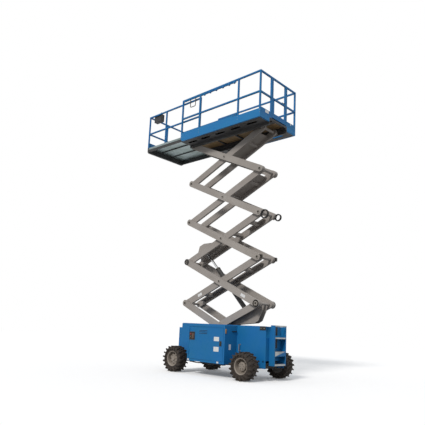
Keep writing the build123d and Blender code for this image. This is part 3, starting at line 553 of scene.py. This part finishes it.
def makeArmHoses():
    # two hoses clipped along the inside of each left inner beam
    for stage in range(1, 6):
        arm, lower = f"inner_arm_{stage}", stageFoot(stage)
        along = (pins[f"cross_{stage}"] - lower) * 2
        square = Vector((along.z, 0, -along.x)).normalized()
        if square.z < 0:
            square = -square
        probe = lower + along * runSet["probe"] + Vector((0, 1.0, 0))
        face = touch(arm, probe, (0, -1, 0)).y - runSet["wall"]
        lane = Vector((0, face - runSet["hoseRadius"] - runSet["clear"], 0))
        clips = bmesh.new()
        for index in (0, 1):
            lift = runSet["above"] - index * runSet["gap"]
            points = []
            for share in runSet["points"]:
                station = runSet["from"] + share * (runSet["to"] - runSet["from"])
                sag = -runSet["sag"] if share in runSet["sagging"] else 0.0
                points.append(lower + along * station + square * (lift + sag) + lane)
            setHose(f"armHose_{stage}_{index}", points, runSet["hoseRadius"], "hose", arm)
            for end, sign in ((points[0], -1), (points[-1], 1)):
                back, ahead = (along.normalized() * sign * reach for reach in runSet["ferrule"])
                addBar(clips, end - back, end + ahead, runSet["ferruleRadius"], sides=6)
        for index in range(runSet["clips"]):
            station = runSet["from"] + (index + 0.5) / runSet["clips"] * (runSet["to"] - runSet["from"])
            middle = lower + along * station + square * (runSet["above"] - runSet["gap"] / 2) + lane
            length, radius = runSet["clipBolt"]
            for lift in (-runSet["clipHalf"], runSet["clipHalf"]):
                foot = middle + square * lift
                addBar(clips, foot, foot + Vector((0, length, 0)), radius)
            strap, half = middle - Vector((0, runSet["strapOut"], 0)), square * runSet["strapHalf"]
            addBar(clips, strap - half, strap + half, runSet["strapRadius"], sides=8)
        setPiece(f"hoseClips_{stage}", clips, "zinc", arm)


makeArmHoses()
print("scissor hoses done")

ramSet = {
    "barrel": 1.88, "gland": (0.05, 0.004), "glandRadius": 0.064, "ports": (1.02, 1.70), "portFoot": 0.055,
    "portHeight": 0.028, "portRadius": 0.018, "pipeRadius": 0.009,
    "pipe": ((1.70, 0.075), (1.68, 0.080), (1.62, 0.078), (1.4, 0.072), (1.2, 0.073), (1.08, 0.078),
             (1.02, 0.085)),
}


def makeRamFittings():
    # gland ring, two ports and a hard pipe along the barrel; places count from the barrel's own pin
    slide = next(joint for joint in frame["joints"] if joint["name"] == "ram_slide")
    direction, foot = Vector(slide["axis"]).normalized(), pins["ram_pivot"]
    form = bmesh.new()
    back, front = (foot + direction * (ramSet["barrel"] - reach) for reach in ramSet["gland"])
    addBar(form, back, front, ramSet["glandRadius"], sides=32)
    for reach in ramSet["ports"]:
        start = foot + direction * reach + Vector((0, ramSet["portFoot"], 0))
        addBar(form, start, start + Vector((0, ramSet["portHeight"], 0)), ramSet["portRadius"], sides=6)
    setPiece("ramGlandAndPorts", form, "darkSteel", "ram_barrel")
    pipe = [foot + direction * reach + Vector((0, y, 0)) for reach, y in ramSet["pipe"]]
    setHose("ramPipe", pipe, ramSet["pipeRadius"], "darkSteel", "ram_barrel")


makeRamFittings()

stickerSet = {"thick": 0.0006, "sunk": 0.0002, "start": 0.3}


def addSticker(form, node, centre, width, height, direction):
    # blank film pressed on a CAD face
    direction = Vector(direction)
    foot = touch(node, Vector(centre) + direction * stickerSet["start"], -direction)
    across = Vector((0, 0, 1)).cross(direction) * width / 2
    reach = Vector((abs(across.x), abs(across.y), height / 2))
    low, high = foot - reach, foot + reach
    addBlock(form, low, high + direction * stickerSet["thick"], 0.0)


doorSet = {  # slots and hoods lie between two shares of the louvre pitch
    "faceAt": 0.8, "stickers": ((-0.365, 0.905, 0.165, 0.10), (-0.365, 0.665, 0.165, 0.11)),
    "latch": (-0.50, 0.80),  # a paddle in a shallow dish, with its lock above
    "latchParts": ((((-0.035, 0, -0.06), (0.035, 0.004, 0.06), 0.0015),
                    ((-0.022, 0.003, -0.045), (0.022, 0.013, 0.02), 0.004)),
                   (((0, 0, 0.04), (0, 0.009, 0.04), (0.008,), 16),)),
    "louvreX": (-0.05, 0.22), "louvreZ": (1.005, 1.115), "rows": 3, "slot": (-0.28, 0.12),
    "slotOut": 0.0012, "hood": (0.07, 0.37), "hoodOut": 0.010, "hoodTopOut": 0.0005,
}


def makeDoors():
    for hand, side in hands:
        door, face = f"door_{hand}", Vector((0, side, 0))
        surface = touch(door, at(0.0, side * 1.2, doorSet["faceAt"]), -face).y
        film, hoods, slots = bmesh.new(), bmesh.new(), bmesh.new()
        for x, z, width, height in doorSet["stickers"]:
            addSticker(film, door, at(x, side * 0.9, z), width, height, face)
        setPiece(f"doorFilm_{hand}", film, "vinyl", door)
        x, z = doorSet["latch"]
        setShapes(f"doorLatch_{hand}", "darkSteel", door, at(x, surface, z), side, *doorSet["latchParts"])
        left, right = doorSet["louvreX"]
        bottom, top = doorSet["louvreZ"]
        pitch = (top - bottom) / doorSet["rows"]
        for row in range(doorSet["rows"]):
            z = bottom + pitch * (row + 0.5)
            # a flat dark fill in the opening under each hood: painted shade for the inside of the louvre
            low, high = (z + pitch * share for share in doorSet["slot"])
            out = surface + side * doorSet["slotOut"]
            addBlock(slots, at(left, surface, low), at(right, out, high), 0.0)
            low, high = (z + pitch * share for share in doorSet["hood"])
            out = surface + side * doorSet["hoodOut"]
            for corner in addBlock(hoods, at(left, surface, low), at(right, out, high), 0.0):
                if corner.co.z > (low + high) / 2 and abs(corner.co.y - out) < abs(corner.co.y - surface):
                    corner.co.y = surface + side * doorSet["hoodTopOut"]  # each hood slopes back at its top
        setPiece(f"doorLouvres_{hand}", hoods, "blue_paint", door)
        setPiece(f"doorSlotShade_{hand}", slots, "rubberAndShadeFill", door)


makeDoors()

# the lower control station in the left door: dish, frame, stop button, breakers, key switch and levers,
# each with a finish, blocks and bars measured from the middle of the dish
groundMiddle = (0.46, 0.95)
groundSet = {
    "groundPanelBack": ("rubberAndShadeFill", (((-0.095, 0, -0.1), (0.095, 0.002, 0.1), 0.0008),), ()),
    "groundPanelFrame": ("control_plastic", (
        ((-0.095, 0, -0.1), (0.095, 0.009, -0.086), 0.0025),
        ((-0.095, 0, 0.086), (0.095, 0.009, 0.1), 0.0025),
        ((-0.095, 0, -0.09), (-0.0817, 0.009, 0.09), 0.0025),
        ((0.0817, 0, -0.09), (0.095, 0.009, 0.09), 0.0025),
    ), ()),
    "groundStopButton": ("redPlastic", (), (
        ((0.045, 0, 0.04), (0.045, 0.012, 0.04), (0.014,), 16),
        ((0.045, 0.010, 0.04), (0.045, 0.017, 0.04), (0.024, 0.021), 24),
    )),
    "groundBreakerBox": ("brownPlastic", (((-0.06, 0, -0.07), (0.01, 0.012, 0.055), 0.003),), ()),
    "groundSwitches": ("zinc", (((0.047, 0.008, -0.031), (0.053, 0.016, -0.009), 0.001),), (
        ((0.05, 0, -0.02), (0.05, 0.010, -0.02), (0.012,), 24),
        ((0.028, 0, -0.065), (0.028, 0.014, -0.059), (0.003, 0.0022), 10),
        ((0.050, 0, -0.065), (0.050, 0.014, -0.059), (0.003, 0.0022), 10),
        ((0.072, 0, -0.065), (0.072, 0.014, -0.059), (0.003, 0.0022), 10),
    )),
}


def makeGroundControls():
    x, z = groundMiddle
    origin = at(x, touch("door_left", at(x, 1.2, z), (0, -1, 0)).y, z)
    for name, (finish, blocks, bars) in groundSet.items():
        setShapes(name, finish, "door_left", origin, 1, blocks, bars)


makeGroundControls()
print("doors done")

traySet = {"marks": ((0.57, 0.358), (-0.425, 0.358)), "markSize": (0.06, 0.04),
           "label": (0.635, 0.73, 0.075, 0.13), "amber": (0.80, 1.10, 0.045, 0.11), "amberThick": 0.012,
           "ports": 5, "portY": (0.42, 0.56), "portZ": 1.10,
           "port": (((0, 0, 0), (-0.010, 0, 0), (0.014,), 6),
                    ((-0.008, 0, 0), (-0.026, 0, 0), (0.010, 0.009), 14))}


def makeTrayFittings():
    for hand, side in hands:
        tray, form = f"tray_{hand}", bmesh.new()
        for x, z in traySet["marks"]:
            addSticker(form, tray, at(x, side * 0.9, z), *traySet["markSize"], (0, side, 0))
        y, z, width, height = traySet["label"]
        addSticker(form, tray, at(-0.7, side * y, z), width, height, (-1, 0, 0))
        setPiece(f"trayFilm_{hand}", form, "vinyl", "chassis")
        form = bmesh.new()
        y, z, width, height = traySet["amber"]
        foot, half = touch(tray, at(-1.0, side * y, z), (1, 0, 0)), Vector((0, width / 2, height / 2))
        addBlock(form, foot - half - Vector((traySet["amberThick"], 0, 0)), foot + half, 0.004)
        setPiece(f"trayReflector_{hand}", form, "amber", "chassis")
        form = bmesh.new()
        first, last = traySet["portY"]
        for index in range(traySet["ports"]):
            y = first + (last - first) * index / (traySet["ports"] - 1)
            foot = touch(tray, at(-1.0, side * y, traySet["portZ"]), (1, 0, 0))
            addShapes(form, foot, side, bars=traySet["port"])
        setPiece(f"trayPorts_{hand}", form, "darkSteel", "chassis")


makeTrayFittings()

troughSet = {
    "handle": (-0.74, 0.72),
    "grip": (((0, 0.05, -0.078), (0, 0.05, 0.088), (0.012,), 14),), "ends": (-0.07, 0.08),
    "leg": (((0, 0, 0), (0, 0.05, 0), (0.008,), 14), ((0, 0, 0), (0, 0.004, 0), (0.018,), 20)),
    "padX": (-1.495, -1.32), "padZ": (1.165, 1.255), "padOut": 0.008,
    "boltX": (-1.45, -1.36), "boltZ": 1.21, "boltSize": 0.009, "boltHead": 0.006,
}


def makeTroughFittings():
    for hand, side in hands:
        x, z = troughSet["handle"]
        surface = touch("chassis_frame", at(x, side * 0.7, z), (0, -side, 0)).y
        form = bmesh.new()
        addShapes(form, at(x, surface, z), side, bars=troughSet["grip"])
        for end in troughSet["ends"]:
            addShapes(form, at(x, surface, z + end), side, bars=troughSet["leg"])
        setPiece(f"grabHandle_{hand}", form, "greyPlastic", "chassis")
        form = bmesh.new()
        out = Vector((0, side * troughSet["padOut"], 0))
        (rear, front), (bottom, top) = troughSet["padX"], troughSet["padZ"]
        addBlock(form, at(rear, surface, bottom), at(front, surface, top) + out, 0.003)
        setPiece(f"restPad_{hand}", form, "rubberAndShadeFill", "chassis")
        form = bmesh.new()
        for x in troughSet["boltX"]:
            foot = touch("chassis_frame", at(x, side * 0.7, troughSet["boltZ"]), (0, -side, 0)) + out
            addBolt(form, foot, (0, side, 0), troughSet["boltSize"], troughSet["boltHead"])
        setPiece(f"restPadBolts_{hand}", form, "zinc", "chassis")


makeTroughFittings()

manifoldSet = {"wallAt": (0.90, 0.66), "block": ((0.84, 0, 0.60), (0.96, 0.035, 0.70), 0.004), "x": 0.865,
               "pitch": 0.035, "out": 0.0175, "bottom": 0.60, "nut": (0.022, 0.013), "hoseTop": 0.58,
               "hoses": ("brownPlastic", "redPlastic", "hose"), "hoseRadius": 0.011, "drop": 0.05,
               "bends": ((0.03, 0.03, 0.50), (0.10, 0.035, 0.475)), "end": (1.03, 0.03, 0.468),
               "spread": 0.012}
loomSet = {  # lanes give y and sag, points give x, shift and share of the sag
    "radius": 0.013, "lanes": ((0.77, 0.020), (0.72, 0.028), (0.50, 0.022)), "below": 0.013,
    "points": ((0.56, 0.0, 0.0), (0.50, 0.0, 0.3), (0.30, 0.012, 1.0), (0.08, 0.0, 0.2),
               (-0.10, -0.008, 0.9), (-0.30, 0.006, 0.2), (-0.46, 0.0, 0.8), (-0.58, 0.0, 0.1)),
    "clipX": (0.54, 0.08, -0.28, -0.57), "clips": ((0.70, 0.79), (0.48, 0.52)), "clipHalf": 0.012,
    "clipZ": (-0.032, -0.0005),
}


def makeSteerHoses(hand, side):
    # hoses between the arch and the front axle
    x, z = manifoldSet["wallAt"]
    wall = touch("chassis_frame", at(x, side * 0.7, z), (0, -side, 0)).y
    form = bmesh.new()
    addShapes(form, at(0, wall, 0), side, (manifoldSet["block"],))
    ways = [manifoldSet["x"] + index * manifoldSet["pitch"] for index in range(len(manifoldSet["hoses"]))]
    drop, radius = manifoldSet["nut"]
    for x in ways:
        foot = at(x, wall + side * manifoldSet["out"], manifoldSet["bottom"])
        addBar(form, foot, foot - Vector((0, 0, drop)), radius, sides=6)
    setPiece(f"steerManifold_{hand}", form, "castAlloy", "chassis")
    for index, (x, finish) in enumerate(zip(ways, manifoldSet["hoses"])):
        start = at(x, wall + side * manifoldSet["out"], manifoldSet["hoseTop"])
        points = [start, start - Vector((0, 0, manifoldSet["drop"]))]
        points += [at(x + ahead, wall + side * out, z) for ahead, out, z in manifoldSet["bends"]]
        ahead, out, z = manifoldSet["end"]
        points.append(at(ahead, wall + side * out, z - index * manifoldSet["spread"]))
        setHose(f"steerHose_{hand}_{index}", points, manifoldSet["hoseRadius"], finish, "chassis")


def makeLoom(hand, side):
    # cables clipped under a tray, slack between the clips
    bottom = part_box(f"tray_{hand}")[0].z
    for index, (y, drop) in enumerate(loomSet["lanes"]):
        z = bottom - loomSet["below"]
        points = [at(x, side * (y + shift), z - drop * sag) for x, shift, sag in loomSet["points"]]
        setHose(f"trayLoom_{hand}_{index}", points, loomSet["radius"], "hose", "chassis")
    form = bmesh.new()
    half, (low, high) = loomSet["clipHalf"], loomSet["clipZ"]
    for x in loomSet["clipX"]:
        for inner, outer in loomSet["clips"]:
            addShapes(form, at(x, 0, bottom), side, (((-half, inner, low), (half, outer, high), 0.003),))
    setPiece(f"loomClips_{hand}", form, "darkSteel", "chassis")


for hand, side in hands:
    makeSteerHoses(hand, side)
    makeLoom(hand, side)
print("chassis fittings done")

treadSet = {"feet": (0.360, 0.640, 0.985, 1.245), "below": 0.003, "above": 0.115, "edge": 0.031}


def isTread(middle, normal):
    inside = abs(middle.y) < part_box("ladder")[1].y - treadSet["edge"]
    return inside and any(-treadSet["below"] < middle.z - z < treadSet["above"] for z in treadSet["feet"])


giveFaces("ladder", finishes["castAlloy"], isTread)

# the strip entries place a dark strip behind the treads: painted shade
kickSet = {"inset": 0.012, "edge": 0.03, "thick": 0.004, "shadeStrip": (-0.06, 0.085), "shadeStripProud": 0.003,
           "shadeStripThick": 0.004, "shadeStripInset": 0.012, "fields": ((0.752, 0.985), (1.048, 1.262))}


def makeKickPanels():
    # sheet behind the treads, with a dark rubber strip on it that is painted shade in the recess
    low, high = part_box("ladder")
    x, edge, inset = high.x - kickSet["inset"], kickSet["edge"], kickSet["shadeStripInset"]
    front = x - kickSet["shadeStripProud"]
    start, end = kickSet["shadeStrip"]
    panel, shadeStrip = bmesh.new(), bmesh.new()
    for bottom, top in kickSet["fields"]:
        addBlock(panel, (x, low.y + edge, bottom), (x + kickSet["thick"], high.y - edge, top), 0.0)
        back = front + kickSet["shadeStripThick"]
        # dark strip: painted shade behind the treads
        addBlock(shadeStrip, (front, start, bottom + inset), (back, end, top - inset), 0.001)
    setPiece("ladderKickPanels", panel, "blue_paint", "chassis")
    setPiece("ladderShadeStrips", shadeStrip, "rubberAndShadeFill", "chassis")


makeKickPanels()

railSet = {
    "bar": (((0.62, 0, -0.06), (-0.62, 0, -0.06), (0.018,), 20),),  # below the top of the left rail
    "channel": ((0.62, -0.016, -0.062), (1.34, 0.016, -0.040), 0.003),
    "clamps": (0.52, 0.30, 0.08, -0.16, -0.38, -0.56), "clampHalf": (0.022, 0.021),
    "clampZ": (-0.092, -0.040),
    "loop": (0.87, 1.07, 7.32), "loopBar": 0.011, "loopOut": -0.005, "loopTop": -0.038,
    "legs": (((0.0, 0.032), (0.009, 0.009)), ((0.007, 0.011), (0.032, 0.0))), "legFoot": 0.03,
    "posts": (-1.43, -0.72, 0.67, 1.345), "boltBelow": (0.06, 0.13), "boltSize": 0.009, "boltHead": 0.0055,
    "boltSunk": 0.006,
}


def makeRailFittings():
    # a stiffener with clamps and a tie loop under the left top rail, and the foot bolts of the posts
    low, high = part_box("rails_left")
    y, top = (low.y + high.y) / 2, high.z
    (across, deep), (bottom, lid) = railSet["clampHalf"], railSet["clampZ"]
    clamps = [((x - across, -deep, bottom), (x + across, deep, lid), 0.004) for x in railSet["clamps"]]
    blocks = [railSet["channel"], *clamps]
    setShapes("railStiffener", "blue_paint", "platform", at(0, y, top), 1, blocks, railSet["bar"])
    form = bmesh.new()
    rear, front, foot = railSet["loop"]
    rise, legFoot = top + railSet["loopTop"] - foot, railSet["legFoot"]
    lines = [((rear + legFoot, 0), (front - legFoot, 0))]
    for x, inwards in ((rear, 1), (front, -1)):
        for start, end in (((0, rise), (0, legFoot)), *railSet["legs"]):
            lines.append([(x + inwards * reach, height) for reach, height in (start, end)])
    for line in lines:
        start, end = (at(x, y + railSet["loopOut"], foot + z) for x, z in line)
        addBar(form, start, end, railSet["loopBar"], sides=14)
    setPiece("railLoop", form, "darkSteel", "platform")
    for hand, side in hands:
        band, form = f"platform_band_{hand}", bmesh.new()
        for x in railSet["posts"]:
            for z in railSet["boltBelow"]:
                foot = touch(band, at(x, side * 1.2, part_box(band)[1].z - z), (0, -side, 0))
                if foot:
                    foot = foot - Vector((0, side * railSet["boltSunk"], 0))
                    addBolt(form, foot, (0, side, 0), railSet["boltSize"], railSet["boltHead"])
        setPiece(f"postBolts_{hand}", form, "zinc", "platform")


toeLabels = ((0.50, 6.575, 0.15, 0.075), (-0.33, 6.560, 0.05, 0.04), (-0.56, 6.600, 0.035, 0.06))


def makeToeFilm():
    # blank film on the rear end of the platform
    form = bmesh.new()
    for y, z, width, height in toeLabels:
        band = "platform_band_left" if y > 0 else "platform_band_right"
        foot = touch("rails_rear", at(-2.0, y, z), (1, 0, 0)) or touch(band, at(-2.0, y, z), (1, 0, 0))
        if foot:
            half = Vector((0, width / 2, height / 2))
            low = foot - half - Vector((stickerSet["thick"], 0, 0))
            addBlock(form, low, foot + half + Vector((stickerSet["sunk"], 0, 0)), 0.0)
    setPiece("toeFilm", form, "vinyl", "platform")


makeRailFittings()
makeToeFilm()

gateSet = {"latchZ": 7.05, "box": ((-0.012, 0.002, 0), (0.02, 0.05, 0.07), 0.004),
           "bolt": (((0, 0.05, 0.035), (0, 0.13, 0.035), (0.008,), 16),
                    ((0, 0.13, 0.035), (0, 0.15, 0.035), (0.015, 0.012), 18))}


def makeGateLatch():
    # a spring bolt with its knob, on the free edge of the gate
    low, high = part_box("gate")
    origin = Vector(((low.x + high.x) / 2, low.y, gateSet["latchZ"]))
    setShapes("gateLatch", "darkSteel", "gate", origin, 1, (gateSet["box"],), gateSet["bolt"])


makeGateLatch()

controlSet = {
    "stickFrom": 0.08, "stopFrom": 0.05, "switchFrom": (0.135, 0.03), "switches": 4, "switchPitch": 0.028,
    "stick": (((0, 0, 0), (0, 0, 0.007), (0.032, 0.030), 24),
              ((0, 0, 0.006), (0, 0, 0.013), (0.027, 0.024), 24),
              ((0, 0, 0.012), (0, 0, 0.019), (0.022, 0.018), 24),
              ((0, 0, 0.018), (0, 0, 0.025), (0.017, 0.012), 24),
              ((0, 0, 0), (-0.004, 0, 0.05), (0.0066,), 16),
              ((-0.004, 0, 0.035), (-0.008, 0, 0.078), (0.013, 0.019), 20)),
    "stop": (((0, 0, 0), (0, 0, 0.018), (0.014,), 16),
             ((0, 0, 0.016), (0, 0, 0.028), (0.023, 0.020), 28)),
    "switch": (((0, 0, 0), (0, 0, 0.004), (0.008,), 6),
               ((0, 0, 0), (0.004, 0, 0.02), (0.003, 0.0025), 10)),
    "side": (0.004, 0.0012, 0.03), "plate": (0.012, 0.001, 0.0015),
}


def makePlatformControls():
    # joystick with a boot, stop button, switches and face plates on the upper control box
    low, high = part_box("platform_controls")
    y, top = (low.y + high.y) / 2, high.z
    stick = Vector((low.x + controlSet["stickFrom"], y, top))
    setShapes("joystick", "hose", "extension", stick, bars=controlSet["stick"])
    stop = Vector((high.x - controlSet["stopFrom"], y, top))
    setShapes("platformStopButton", "redPlastic", "extension", stop, bars=controlSet["stop"])
    form, plate = bmesh.new(), bmesh.new()
    start, inwards = controlSet["switchFrom"]
    for index in range(controlSet["switches"]):
        foot = Vector((low.x + start + index * controlSet["switchPitch"], low.y + inwards, top))
        addShapes(form, foot, 1, bars=controlSet["switch"])
    edge, thick, margin = controlSet["side"]
    corner = (low.x + edge, low.y - thick, low.z + margin)
    addBlock(form, corner, (high.x - edge, low.y, top - margin), 0.0005)
    setPiece("controlSwitches", form, "zinc", "extension")
    edge, sunk, proud = controlSet["plate"]
    corner = (low.x + edge, low.y + edge, top - sunk)
    addBlock(plate, corner, (high.x - edge, high.y - edge, top + proud), 0.0006)
    setPiece("controlPlate", plate, "greyPlastic", "extension")


makePlatformControls()
print("platform fittings done")

armFilmSet = {"arms": (("outer_arm_2", 0.165), ("inner_arm_2", 0.2)), "size": (0.15, 0.0012, 0.07)}


def makeArmFilm():
    # blank film turned with the beam under it; each place is a share of the beam
    for arm, share in armFilmSet["arms"]:
        stage, inner = int(arm[-1]), arm.startswith("inner")
        lower, middle = stageFoot(stage), pins[f"cross_{stage}"]
        foot = lower if inner else Vector((2 * middle.x - lower.x, 0, lower.z))
        along = (middle - foot) * 2
        surface = touch(arm, foot + along * share + Vector((0, 1.0, 0)), (0, -1, 0))
        if along.x < 0:
            along = -along
        form = bmesh.new()
        half = Vector(armFilmSet["size"]) / 2
        made = addBlock(form, -half, half, 0.0)
        tilt = Vector((1, 0, 0)).rotation_difference(along)
        bmesh.ops.rotate(form, verts=made, cent=(0, 0, 0), matrix=tilt.to_matrix())
        bmesh.ops.translate(form, verts=made, vec=surface)
        setPiece(f"armFilm_{arm}", form, "vinyl", arm)


makeArmFilm()

studio = {
    "floorSize": 60.0, "floorWhite": "#FFFFFF", "floorBounce": "#6C6A67", "floorGlow": 0.12,
    "keyPower": 2.0, "keyTurn": (52, -8, 200), "keyAngle": 12, "keyColour": (1.0, 0.97, 0.93),
    "skyStrength": 0.55, "skyColour": (0.93, 0.96, 1.0, 1.0), "backColour": (1, 1, 1, 1),
}


def mixByRay(tree, bounced, direct):
    # direct is for rays that the camera sees straight, in a mirror or through glass, bounced for the rest
    path = addNode(tree, "LightPath")
    adding = {"operation": "ADD", "use_clamp": True}
    seen = addNode(tree, "Math", adding,
                   links=[(0, path, "Is Camera Ray"), (1, path, "Is Glossy Ray")])
    seen = addNode(tree, "Math", adding, links=[(0, seen, 0), (1, path, "Is Transmission Ray")])
    return addNode(tree, "MixShader", links=[("Fac", seen, 0), (1, bounced, 0), (2, direct, 0)])


def makeFloor():
    form = bmesh.new()
    bmesh.ops.create_grid(form, x_segments=1, y_segments=1, size=studio["floorSize"] / 2)
    mesh = bpy.data.meshes.new("studioFloor")
    form.to_mesh(mesh)
    form.free()
    floor = bpy.data.objects.new("studioFloor", mesh)
    scene.collection.objects.link(floor)
    material, tree = newMaterial("pale studio floor")
    plain = addNode(tree, "BsdfDiffuse", inputs={"Color": hexToLinear(studio["floorBounce"])})
    white = addNode(tree, "BsdfDiffuse", inputs={"Color": hexToLinear(studio["floorWhite"])})
    glow = addNode(tree, "Emission", inputs={"Strength": studio["floorGlow"]})
    seen = addNode(tree, "AddShader", links=[(0, white, 0), (1, glow, 0)])
    addNode(tree, "OutputMaterial", links=[("Surface", mixByRay(tree, plain, seen), 0)])
    mesh.materials.append(material)


def makeLight():
    world = bpy.data.worlds.new("studioSky")
    world.use_nodes = True
    scene.world = world
    tree = world.node_tree
    tree.nodes.clear()
    sky = addNode(tree, "Background",
                  inputs={"Color": studio["skyColour"], "Strength": studio["skyStrength"]})
    white = addNode(tree, "Background", inputs={"Color": studio["backColour"], "Strength": 1.0})
    addNode(tree, "OutputWorld", links=[("Surface", mixByRay(tree, sky, white), 0)])
    key = bpy.data.lights.new("keySun", "SUN")
    key.energy = studio["keyPower"]
    key.angle = radians(studio["keyAngle"])
    key.color = studio["keyColour"]
    lamp = bpy.data.objects.new("keySun", key)
    lamp.rotation_euler = [radians(a) for a in studio["keyTurn"]]
    scene.collection.objects.link(lamp)


cameraSet = {
    "fromAxles": (-8.299, 9.663, 1.205), "turn": 43.572, "tilt": 10.096, "roll": 2.725,
    "lens": 40.84, "shift": (0.0129, 0.0647),
}


def makeCamera():
    turn, tilt, roll = (radians(cameraSet[k]) for k in ("turn", "tilt", "roll"))
    forward = Vector((sin(turn) * cos(tilt), -cos(turn) * cos(tilt), sin(tilt)))
    right = forward.cross(Vector((0, 0, 1))).normalized()
    up = right.cross(forward)
    rolledRight = right * cos(roll) + up * sin(roll)
    rolledUp = up * cos(roll) - right * sin(roll)
    camera = bpy.data.objects.new("camera", bpy.data.cameras.new("camera"))
    scene.collection.objects.link(camera)
    camera.data.lens = cameraSet["lens"]
    camera.data.shift_x, camera.data.shift_y = cameraSet["shift"]
    place = Vector(cameraSet["fromAxles"]) + Vector((axleMiddle, 0, 0))
    turned = Matrix((rolledRight, rolledUp, -forward)).transposed().to_4x4()
    camera.matrix_world = Matrix.Translation(place) @ turned
    scene.camera = camera


makeFloor()
makeLight()
makeCamera()
scene.view_settings.view_transform = "Standard"
print("studio done")
